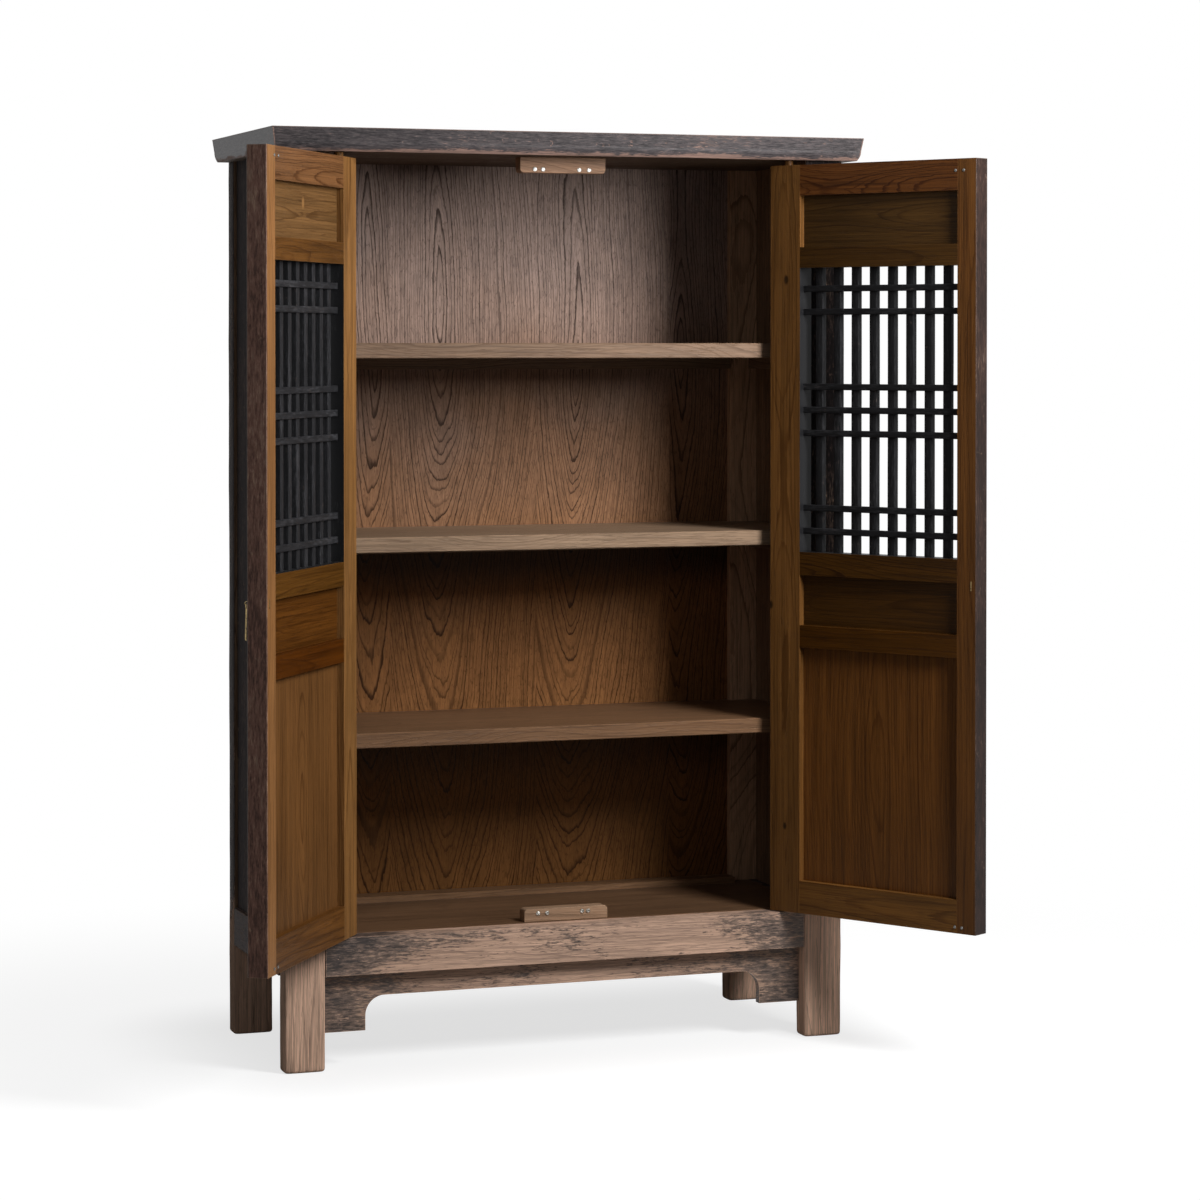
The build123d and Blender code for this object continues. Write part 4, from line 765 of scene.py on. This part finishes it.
class CABINET_OT_carcass(bpy.types.Operator):
    """The worn posts, and the lacquer of the top, the side panels and the bottom rails"""

    bl_idname = "cabinet.carcass"
    bl_label = "Carcass"

    def execute(self, context):
        finishes, sizes = context.scene.cabinet_finishes, context.scene.cabinet_sizes
        for n, (place, (inside, low_loss, bare, brown)) in enumerate(POSTS.items()):
            node = f"post_{place}"
            material = lacquered_wood(
                f"{node}_lacquer", finishes, pith(node, 0.05 - 0.09 * (n % 2), 0.07, 0.0),
                upright_grain(0.0, 0.01 * (n - 1.5), 0.008), low_loss=(FOOT_LEVEL, low_loss, FOOT_BLUR),
                inside=inside, wood=tinted(finishes.weathered, bare), brown=brown, seed=n + 1.0, **POST_WEAR)
            mesh = worn_post(f"{node}_worn", node, sizes, n + 1.0)
            keep_piece(mesh, f"{node}_worn", "carcass", node, material)
        for n, (node, (yaw, loss)) in enumerate(TOPS.items()):
            lip = (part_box(node)[0].z + TOP_LIP, 0.30, TOP_BLUR)
            wear(node, lacquered_wood(
                f"{node}_lacquer", finishes, pith(node, 0.0, 0.02, -0.09 - 0.01 * n),
                level_grain(yaw, 0.0, 0.01), loss=loss, low_loss=lip, inside=(-UP,), seed=10.0 + n,
                **TOP_WEAR))
        for n, (rail, yaw) in enumerate((("rear", 0.0), ("left", ACROSS), ("right", ACROSS))):
            node = f"bottom_{rail}_rail"
            wear(node, lacquered_wood(
                f"{node}_lacquer", finishes, pith(node, 0.03, 0.03, -0.08), level_grain(yaw, 0.0, 0.012),
                loss=0.08, seed=20.0 + n, gloss=0.6, specular=0.03))
        for n, node in enumerate(("bottom_front_rail", "apron")):
            wear(node, lacquered_wood(
                f"{node}_weathered", finishes, pith(node, 0.0, 0.09, -0.05), level_grain(0.0, 0.02, 0.015),
                wood=finishes.weathered, seed=30.0 + n, **FRONT_WEAR))
        for side, inward in (("left", RIGHT), ("right", -RIGHT)):
            node = f"side_panel_{side}"
            wear(node, lacquered_wood(
                f"{node}_lacquer", finishes, pith(node, 0.09, 0.03, 0.0), upright_grain(0.0, 0.012, 0.02),
                loss=-0.08, gloss=0.65, specular=0.015, inside=(inward,), seed=40.0, brown=1.1))
        return {"FINISHED"}


# The back boards: the pith's place, lean and bow, and the seed of the grain.
PLANKS = (
    (-0.274, 1.30, 0.13, 0.065, 2.7),
    (-0.128, 1.42, 0.15, 0.072, 5.2),
    (0.156, 1.36, 0.16, 0.078, 8.6),
    (0.40, 1.25, 0.13, 0.065, 11.3),
)
PLANK_GRAIN = {"ring": 0.0056, "sway": 0.014, "figure": 0.0085, "contrast": 1.05, "pores": 0.22,
               "streaks": 0.36, "mottle": 0.16, "peak": 1.55}
# How the back's tone changes with its height: more amber and darker towards the bottom, and pale grey high
# up, which is partly a painted sheen of the lamp on the satin boards.
PATINA_AND_SHEEN = ((0.35, (0.50, 0.30, 0.11)), (0.80, (0.76, 0.475, 0.21)), (1.20, (0.75, 0.58, 0.41)),
          (1.45, (0.86, 0.82, 0.78)), (1.65, (0.88, 0.89, 0.90)))
# How far under a shelf the back has a painted shade, and how dark it gets.
PAINTED_SHELF_SHADE = {"shelf_middle": (0.13, 0.22), "shelf_lower": (0.15, 0.38)}
# How far below a shelf's underside the painted shade is already at its darkest.
SHELF_SHADOW = 0.045
SHELF_TINTS = {
    "shelf_lower": (0.66, 0.555, 0.47),
    "shelf_middle": (0.97, 1.02, 1.08),
    "shelf_upper": (0.79, 0.78, 0.82),
    "bottom_board": (0.48, 0.41, 0.355),
    "back_batten": (0.7, 0.6, 0.5),
}
SHELF_GRAIN = {"ring": 0.005, "figure": 0.008, "contrast": 0.65, "pores": 0.5, "streaks": 0.42,
               "mottle": 0.16}
# The catch blocks: which corners are rounded, and the tint.
BLOCKS = {"catch_block_top": (-1, (0.80, 0.72, 0.69)), "catch_block_bottom": (1, (1.0, 0.98, 0.96))}
BLOCK_GRAIN = {"ring": 0.004, "figure": 0.005, "contrast": 0.6, "streaks": 0.45, "pores": 0.5}


class CABINET_OT_interior(bpy.types.Operator):
    """Wood of the back boards, the shelves, their bearers and the catch blocks"""

    bl_idname = "cabinet.interior"
    bl_label = "Interior wood"

    def execute(self, context):
        finishes = context.scene.cabinet_finishes
        # Heights under the shelves where the back gets a painted shade.
        painted_shelf_shade = [(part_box(shelf)[0].z, *shade) for shelf, shade in PAINTED_SHELF_SHADE.items()]
        for n, (x, height, lean, bow, seed) in enumerate(PLANKS):
            node = f"back_plank_{n + 1}"
            centre = (x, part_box(node)[0].y + 0.004, height)
            wear(node, oiled_wood(
                f"{node}_wood", finishes.back_light, finishes.back_dark, centre, upright_grain(0.0, lean),
                gloss=0.44, bump=0.0009, patina_and_sheen=PATINA_AND_SHEEN, painted_shelf_shade=painted_shelf_shade, specular=0.07, bow=bow, seed=seed,
                **PLANK_GRAIN))
        for n, (node, tint) in enumerate(SHELF_TINTS.items()):
            light, dark = tinted(finishes.inner_light, tint), tinted(finishes.inner_dark, tint)
            wear(node, oiled_wood(
                f"{node}_wood", light, dark, pith(node, 0.1 * n, 0.04 * n - 0.05, -0.11),
                level_grain(0.0, 0.0, 0.01), gloss=0.38, edge=tinted(light, 1.5), edge_radius=0.002,
                seed=50.0 + n, **SHELF_GRAIN))
        for node, yaw in (("shelf_side_bearers", ACROSS), ("shelf_rear_bearers", 0.0)):
            wear(node, oiled_wood(
                f"{node}_wood", finishes.inside_light, finishes.inside_dark, pith(node, 0.0, 0.0, -0.06),
                level_grain(yaw), gloss=0.55, seed=60.0))
        for node, (side, tint) in BLOCKS.items():
            light, dark = tinted(finishes.block_light, tint), tinted(finishes.block_dark, tint)
            material = oiled_wood(
                f"{node}_wood", light, dark, pith(node, 0.0, 0.04, -0.05), level_grain(0.0, 0.0, 0.05),
                gloss=0.5, edge=tinted(light, 1.35), edge_radius=0.0015, seed=70.0 + side, **BLOCK_GRAIN)
            mesh = eased_block(f"{node}_rounded", node, side)
            keep_piece(mesh, f"{node}_rounded", "carcass", node, material)
        return {"FINISHED"}


# The early wood of each door piece, its tone fitted piece by piece; the right door's tones are darker than
# the left's partly as painted shade, standing for the shade that falls on its inner face. The late wood is a
# darker tone of the same.
DOOR_TONES_WITH_SHADE = {
    "left": {
        "hinge_stile": (0.195, 0.093, 0.029),
        "free_stile": (0.219, 0.102, 0.036),
        "top_rail": (0.140, 0.062, 0.023),
        "upper_panel": (0.119, 0.060, 0.021),
        "upper_rail": (0.090, 0.037, 0.008),
        "lock_rail": (0.079, 0.032, 0.005),
        "middle_panel": (0.081, 0.028, 0.004),
        "lower_rail": (0.058, 0.016, 0.001),
        "lower_panel": (0.121, 0.053, 0.016),
        "bottom_rail": (0.103, 0.041, 0.009),
    },
    # partly painted shade: darker than the left door's tones for the shade on this door's inner face
    "right": {
        "hinge_stile": (0.114, 0.050, 0.013),
        "free_stile": (0.087, 0.034, 0.008),
        "top_rail": (0.087, 0.030, 0.007),
        "upper_panel": (0.044, 0.021, 0.005),
        "upper_rail": (0.039, 0.017, 0.003),
        "lock_rail": (0.043, 0.017, 0.002),
        "middle_panel": (0.035, 0.014, 0.002),
        "lower_rail": (0.046, 0.016, 0.001),
        "lower_panel": (0.111, 0.042, 0.009),
        "bottom_rail": (0.149, 0.064, 0.014),
    },
}
LATE_WOOD = (0.46, 0.38, 0.30)
# Small knots and pale flecks in the doors' inner faces: place, size and tone beside the wood's own.
KNOTS = {
    "right_door_hinge_stile": (((0.461, -0.040, 1.517), 0.008, 0.2), ((0.460, -0.0375, 0.428), 0.006, 0.2),
                               ((0.442, -0.008, 0.868), 0.007, 0.15)),
    "left_door_upper_panel": (((-0.5754, -0.2153, 1.6489), 0.009, 2.2),),
}
# How each kind of door piece is figured: pith away from the face, ring, sway, figure, contrast.
DOOR_GRAIN = {
    "hinge_stile": (0.05, 0.0045, 0.01, 0.004, 0.45),
    "free_stile": (0.06, 0.0045, 0.01, 0.003, 0.35),
    "top_rail": (0.012, 0.0042, 0.012, 0.006, 0.8),
    "upper_panel": (0.05, 0.0032, 0.01, 0.003, 0.5),
    "upper_rail": (0.05, 0.004, 0.01, 0.004, 0.4),
    "lock_rail": (0.05, 0.004, 0.01, 0.004, 0.4),
    "middle_panel": (0.05, 0.0035, 0.01, 0.003, 0.35),
    "lower_rail": (0.05, 0.004, 0.01, 0.004, 0.35),
    "lower_panel": (0.03, 0.0065, 0.035, 0.006, 0.5),
    "bottom_rail": (0.04, 0.0045, 0.01, 0.005, 0.5),
    "right_door_top_rail": (0.045, 0.0021, 0.02, 0.006, 1.3),
    "right_door_lock_rail": (0.045, 0.003, 0.02, 0.004, 0.9),
}
# How each door's edges are worn: tones of the coat, the rubbed coat and the bare wood, loss and strokes.
DOOR_WEAR = {"left": (0.85, 2.1, 1.1, 0.05, 1.0), "right": (0.15, 0.33, 0.45, -0.06, 0.7)}
OUTER_LOSS = -0.03
LATTICE_TONE = {"left": 1.7, "right": 0.9}
DOOR_SEED = {"left": 3.3, "right": 27.9}
OVERRUN = 0.004  # how far the lattice black runs past the opening
DOOR_SPECULAR = 0.11


class CABINET_OT_doors(bpy.types.Operator):
    """Oiled wood and outer lacquer of the two doors"""

    bl_idname = "cabinet.doors"
    bl_label = "Doors"

    def execute(self, context):
        for side, (width, outer) in DOORS.items():
            yaw = math.atan2(width.y, width.x)
            sill, head = f"{side}_door_lock_rail", f"{side}_door_upper_rail"
            opening = (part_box(sill)[1].z - OVERRUN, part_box(head)[0].z + OVERRUN)
            # Lacquered faces beside the outer one, with the span of heights that is lattice black.
            beside = {
                "free_stile": ((width, None), (-width, opening)),
                "hinge_stile": ((-width, None), (width, opening)),
                "upper_rail": ((-UP, (0.0, 2.0)),),
                "lock_rail": ((UP, (0.0, 2.0)),),
            }
            for n, (piece, tone) in enumerate(DOOR_TONES_WITH_SHADE[side].items()):
                node = f"{side}_door_{piece}"
                deep, ring, sway, figure, contrast = DOOR_GRAIN.get(node) or DOOR_GRAIN[piece]
                upright = piece.endswith("stile") or piece == "lower_panel"
                turn = upright_grain(yaw) if upright else level_grain(yaw, 0.0, 0.006 * (n % 3 - 1))
                off = width * (0.03 * (n % 2)) if upright else -UP * (0.012 * (n % 3))
                grain = {"ring": ring, "sway": sway, "figure": figure, "contrast": 1.35 * contrast,
                         "pores": 0.4, "streaks": 0.5, "mottle": 0.28, "seed": n + DOOR_SEED[side]}
                wear(node, door_wood(
                    f"{node}_wood", context.scene.cabinet_finishes, pith(node, *(outer * deep + off)), turn,
                    tone, outer, beside.get(piece, ()), grain, DOOR_WEAR[side], KNOTS.get(node, ())))
        return {"FINISHED"}


def door_wood(name, finishes, centre, turn, tone, outer, beside, grain, edge_wear, knots):
    """Oiled wood, with lacquer on the outer face and those beside it, lattice black inside their spans."""
    door = Finish(name, DOOR_SPECULAR)
    place = door.trunk(centre, turn)
    coat_tone, rubbed_tone, bare_tone, edge_loss, strokes = edge_wear
    wood = door.timber(place, tinted(tone, 1.18), tinted(tone, LATE_WOOD), **grain)
    under = door.timber(place, tinted(finishes.bare_edge, bare_tone), finishes.weathered_stain,
                        contrast=0.4, pores=0.5, streaks=0.35, seed=grain["seed"])
    mask = door.facing(outer)
    worn = door.use(worn_group, {
        "Place": place, "Edge": door.edges(finishes.edge_wear), "Patches": 0.9, "Strokes": strokes,
        "Loss": door.blend(mask, edge_loss, OUTER_LOSS), "Seed": grain["seed"],
        "Lacquer": door.mix(mask, tinted(finishes.free_edge, coat_tone), finishes.lacquer),
        "Rubbed": door.mix(mask, tinted(finishes.free_edge, rubbed_tone), finishes.lacquer_rubbed),
        "Wood": under["Color"], "Fibre": under["Fibre"]})
    rub = door.times(door.edges(0.0018), door.line(wood["Fibre"], 0.3, 0.7, 0.1, 0.75))
    face = door.mix(rub, wood["Color"], tuple(2.2 * c + 0.01 for c in tone))
    for spot, size, shade in knots:
        away = door.vector("MULTIPLY", door.vector("SUBTRACT", door.here, spot), (1, 1, 0.6))
        spotted = door.rise(door.vector("LENGTH", away), size, 0.35 * size)
        face = door.mix(spotted, face, tinted(tone, shade))
    coat = worn["Color"]
    for direction, span in beside:
        there = door.facing(direction)
        if span is not None:
            above = door.maths("GREATER_THAN", door.height, span[0])
            there = door.times(there, door.times(above, door.maths("LESS_THAN", door.height, span[1])))
            black = door.scaled(finishes.lattice, door.line(worn["Bare"], 0.0, 1.0, 0.9, 1.8))
            coat = door.mix(there, coat, black)
        mask = door.larger(mask, there)
    roughness = door.blend(mask, door.line(wood["Fibre"], 0.2, 0.8, 0.34, 0.5), 0.45)
    relief = door.blend(mask, wood["Height"], worn["Height"])
    return door.end(door.mix(mask, face, coat), roughness, relief, 0.5, 0.0006)


class CABINET_OT_lattices(bpy.types.Operator):
    """Black lacquered lattice bars of the two doors, with worn corners"""

    bl_idname = "cabinet.lattices"
    bl_label = "Lattices"

    def execute(self, context):
        finishes, sizes = context.scene.cabinet_finishes, context.scene.cabinet_sizes
        tree = bar_tree()
        for side, (across, out) in DOORS.items():
            to_cabinet = Matrix((across, out, UP)).transposed().to_4x4()
            yaw = math.atan2(across.y, across.x)
            black = tinted(finishes.lattice, LATTICE_TONE[side])
            for kind in ("uprights", "bars"):
                node = f"{side}_door_lattice_{kind}"
                work = bmesh.new()
                for low, high in loose_parts(node, across, out):
                    core, size = (low + high) / 2, high - low
                    if kind == "uprights":
                        line = ((core.x, core.y, low.z), (core.x, core.y, high.z))
                        section = {"Width": size.x + 0.0012, "Depth": size.y - 0.0004}
                    else:
                        line = ((low.x, core.y, core.z), (high.x, core.y, core.z))
                        section = {"Width": size.y, "Depth": size.z}
                    work.edges.new([work.verts.new(end) for end in line])
                turn = upright_grain() if kind == "uprights" else level_grain(yaw)
                material = lacquered_wood(
                    f"{node}_lacquer", finishes, pith(node, 0.0, 0.0, 0.0), turn, loss=-0.12, gloss=0.45,
                    bump=0.0004, specular=0.06, lacquer=black, rubbed=tinted(black, 2.0),
                    wood=(0.12, 0.09, 0.075), edge_radius=0.0015, seed=80.0)
                inputs = {"Rounding": sizes.bar_rounding, "Waver": sizes.bar_waver, "Seed": BAR_SEED,
                          "Material": material}
                shape = tree.grow(finish_mesh(work, f"{node}_lines"), f"{node}_worn", section | inputs)
                shape.transform(to_cabinet)
                keep_piece(shape, f"{node}_worn", f"{side}_door", node)
        return {"FINISHED"}


class CABINET_OT_screws(bpy.types.Operator):
    """Domed cross-head screws of the catches and their strikes"""

    bl_idname = "cabinet.screws"
    bl_label = "Screws"

    def execute(self, context):
        finishes, sizes = context.scene.cabinet_finishes, context.scene.cabinet_sizes
        tree = head_tree()
        head = bpy.data.objects.new("head_shape", head_mesh())
        zinc = metal("zinc_plate", finishes.zinc, (0.20, 0.185, 0.16), 0.26, 0.0, low_tarnish=(1.0, 0.26))
        dull = metal("dull_zinc", tinted(finishes.zinc, 0.26), (0.06, 0.045, 0.035), 0.45, 0.12)
        groups = [("catch_screws", "carcass", (RIGHT, BACK), sizes.catch_head, zinc)]
        for side, axes in DOORS.items():
            groups.append((f"{side}_door_strike_screws", f"{side}_door", axes, sizes.strike_head, dull))
        for node, body, (across, out), radius, material in groups:
            mesh = bpy.data.meshes.new(f"{node}_points")
            seats = []
            for low, high in loose_parts(node, across, out):
                core = (low + high) / 2
                seats.append(across * core.x + out * high.y + UP * core.z)
            mesh.from_pydata(seats, [], [])
            axis = mesh.attributes.new("axis", "FLOAT_VECTOR", "POINT")
            for point in axis.data:
                point.vector = -out
            inputs = {"Head": head, "Radius": radius, "Seed": SPIN_SEED, "Material": material}
            shape = tree.grow(mesh, f"{node}_domed", inputs)
            keep_piece(shape, f"{node}_domed", body, node)
        bpy.data.objects.remove(head)
        return {"FINISHED"}


class CABINET_OT_pulls(bpy.types.Operator):
    """Old brass of the doors' drop pulls and their staples"""

    bl_idname = "cabinet.pulls"
    bl_label = "Pulls"

    def execute(self, context):
        brass = metal("old_brass", context.scene.cabinet_finishes.brass, (0.07, 0.05, 0.03), 0.34, 0.12)
        for side in DOORS:
            wear(f"{side}_door_pull_staple", brass)
            wear(f"{side}_door_drop_pull", brass)
        return {"FINISHED"}


KEY_PLACE, KEY_AIM, KEY_SIZE = (1.02, -1.79, 2.20), (0.0, 0.3, 1.35), (0.72, 1.30)
FILL_PLACE, FILL_AIM, FILL_SIZE = (-3.2, -3.2, 2.2), (0.0, 0.0, 0.9), (2.0, 2.0)
CAMERA_PLACE, CAMERA_LOOK = (-2.21106, -6.43516, 1.3871), (0.33563, 0.94187, -0.01553)
FRAME_WIDTH, FRAME_DROP = 36.0, -0.1674
FLOOR_REACH = 60.0
# Middle and half size of the floor around the cabinet, where a shadow is painted into the floor's glow.
PAINTED_SHADOW_MIDDLE, PAINTED_SHADOW_HALF = (0.01, 0.2, 0.0), (0.50, 0.22, 0.0)  # the floor that the cabinet shades


def looking(direction):
    return Vector(direction).to_track_quat("-Z", "Y").to_euler()


def soft_lamp(name, place, target, size, power):
    data = bpy.data.lights.new(name, "AREA")
    data.shape, data.size, data.size_y = "RECTANGLE", *size
    data.energy = power
    lamp = bpy.data.objects.new(name, data)
    lamp.location = place
    lamp.visible_camera = False
    lamp.rotation_euler = looking(Vector(target) - Vector(place))
    bpy.context.scene.collection.objects.link(lamp)


def seen_or_lit(wires, lit, seen, kind):
    """One look for the eye, for mirrors and through glass, and another for the light on other things."""
    path = wires.put("ShaderNodeLightPath").outputs
    direct = wires.larger(path["Is Glossy Ray"], path["Is Transmission Ray"])
    direct = wires.larger(path["Is Camera Ray"], direct)
    shown = wires.put("ShaderNodeMixShader", {0: direct, 1: lit.outputs[0], 2: seen.outputs[0]})
    wires.put(kind, {"Surface": shown.outputs[0]})


def floor_paper(tone):
    """Pale paper that keeps the cabinet's shadow faintly, has a painted shadow as a dimmer glow under and
    near the cabinet, and fades to white past it.
    """
    paper = bpy.data.materials.new("floor_paper")
    paper.use_nodes = True
    paper.node_tree.nodes.clear()
    wires = Wiring(paper.node_tree)
    where = wires.put("ShaderNodeTexCoord").outputs["Object"]
    past = wires.vector("ABSOLUTE", wires.vector("SUBTRACT", where, PAINTED_SHADOW_MIDDLE))
    past = wires.vector("MAXIMUM", wires.vector("SUBTRACT", past, PAINTED_SHADOW_HALF), (0, 0, 0))
    away = wires.vector("LENGTH", past)
    tooth = wires.line(wires.noise(where, 300.0, 2.0), 0.0, 1.0, 0.4, 0.6)
    matt = wires.put("ShaderNodeBsdfDiffuse", {"Color": tinted(tone, 0.35), "Roughness": tooth})
    faint = wires.put("ShaderNodeBsdfDiffuse", {"Color": tinted(tone, 0.4)})
    # painted shadow: the floor's glow is dimmer under and near the cabinet
    glow_with_painted_shadow = {"Color": (1, 1, 1), "Strength": wires.rise(away, 0.0, 0.4, 0.72, 0.88)}
    glow_with_painted_shadow = wires.put("ShaderNodeEmission", glow_with_painted_shadow)
    pale = wires.put("ShaderNodeAddShader", {0: faint.outputs[0], 1: glow_with_painted_shadow.outputs[0]})
    white = wires.put("ShaderNodeEmission", {"Color": (1, 1, 1), "Strength": 1.0})
    seen = {0: wires.rise(away, 0.3, 1.7), 1: pale.outputs[0], 2: white.outputs[0]}
    seen_or_lit(wires, matt, wires.put("ShaderNodeMixShader", seen), "ShaderNodeOutputMaterial")
    return paper


class CABINET_OT_stage(bpy.types.Operator):
    """Floor, room light, lamps and camera"""

    bl_idname = "cabinet.stage"
    bl_label = "Stage"

    def execute(self, context):
        scene, stage = context.scene, context.scene.cabinet_stage
        scene.view_settings.view_transform = "Standard"

        mesh = bpy.data.meshes.new("floor")
        corners = [(x * FLOOR_REACH, y * FLOOR_REACH, 0) for x, y in ((-1, -1), (1, -1), (1, 1), (-1, 1))]
        mesh.from_pydata(corners, [], [(0, 1, 2, 3)])
        mesh.materials.append(floor_paper(stage.floor_tone))
        floor = bpy.data.objects.new("floor", mesh)
        scene.collection.objects.link(floor)

        scene.world = bpy.data.worlds.new("studio")
        scene.world.use_nodes = True
        scene.world.node_tree.nodes.clear()
        wires = Wiring(scene.world.node_tree)
        room, white = (
            wires.put("ShaderNodeBackground", {"Color": (1, 1, 1), "Strength": strength})
            for strength in (stage.room_light, 1.0))
        seen_or_lit(wires, room, white, "ShaderNodeOutputWorld")
        soft_lamp("key_lamp", KEY_PLACE, KEY_AIM, KEY_SIZE, stage.key_power)
        soft_lamp("fill_lamp", FILL_PLACE, FILL_AIM, FILL_SIZE, stage.fill_power)

        data = bpy.data.cameras.new("camera")
        data.lens, data.sensor_width, data.sensor_fit = stage.lens, FRAME_WIDTH, "HORIZONTAL"
        data.shift_y = FRAME_DROP
        camera = bpy.data.objects.new("camera", data)
        camera.location = CAMERA_PLACE
        camera.rotation_euler = looking(CAMERA_LOOK)
        scene.collection.objects.link(camera)
        scene.camera = camera
        return {"FINISHED"}


STEPS = (
    CABINET_OT_carcass,
    CABINET_OT_interior,
    CABINET_OT_doors,
    CABINET_OT_lattices,
    CABINET_OT_screws,
    CABINET_OT_pulls,
    CABINET_OT_stage,
)
SETTINGS = {
    "cabinet_finishes": CabinetFinishes,
    "cabinet_sizes": CabinetSizes,
    "cabinet_stage": CabinetStage,
}


class CABINET_PT_making(bpy.types.Panel):
    """Lists the cabinet's pieces and their sizes and colours"""

    bl_idname = "CABINET_PT_making"
    bl_label = "Book cabinet"
    bl_space_type = "VIEW_3D"
    bl_region_type = "UI"
    bl_category = "Cabinet"

    def draw(self, context):
        for step in STEPS:
            self.layout.operator(step.bl_idname, text=step.bl_label)
        for name, kind in SETTINGS.items():
            box = self.layout.box()
            for setting in kind.__annotations__:
                box.prop(getattr(context.scene, name), setting)


CLASSES = (*SETTINGS.values(), *STEPS, CABINET_PT_making)


def register():
    for made in CLASSES:
        bpy.utils.register_class(made)
    for name, kind in SETTINGS.items():
        setattr(bpy.types.Scene, name, PointerProperty(type=kind))


def unregister():
    for name in SETTINGS:
        delattr(bpy.types.Scene, name)
    for made in reversed(CLASSES):
        bpy.utils.unregister_class(made)


def main():
    """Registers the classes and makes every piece."""
    register()
    for step in STEPS:
        getattr(bpy.ops.cabinet, step.bl_idname.split(".")[1])()


if __name__ == "__main__":
    main()
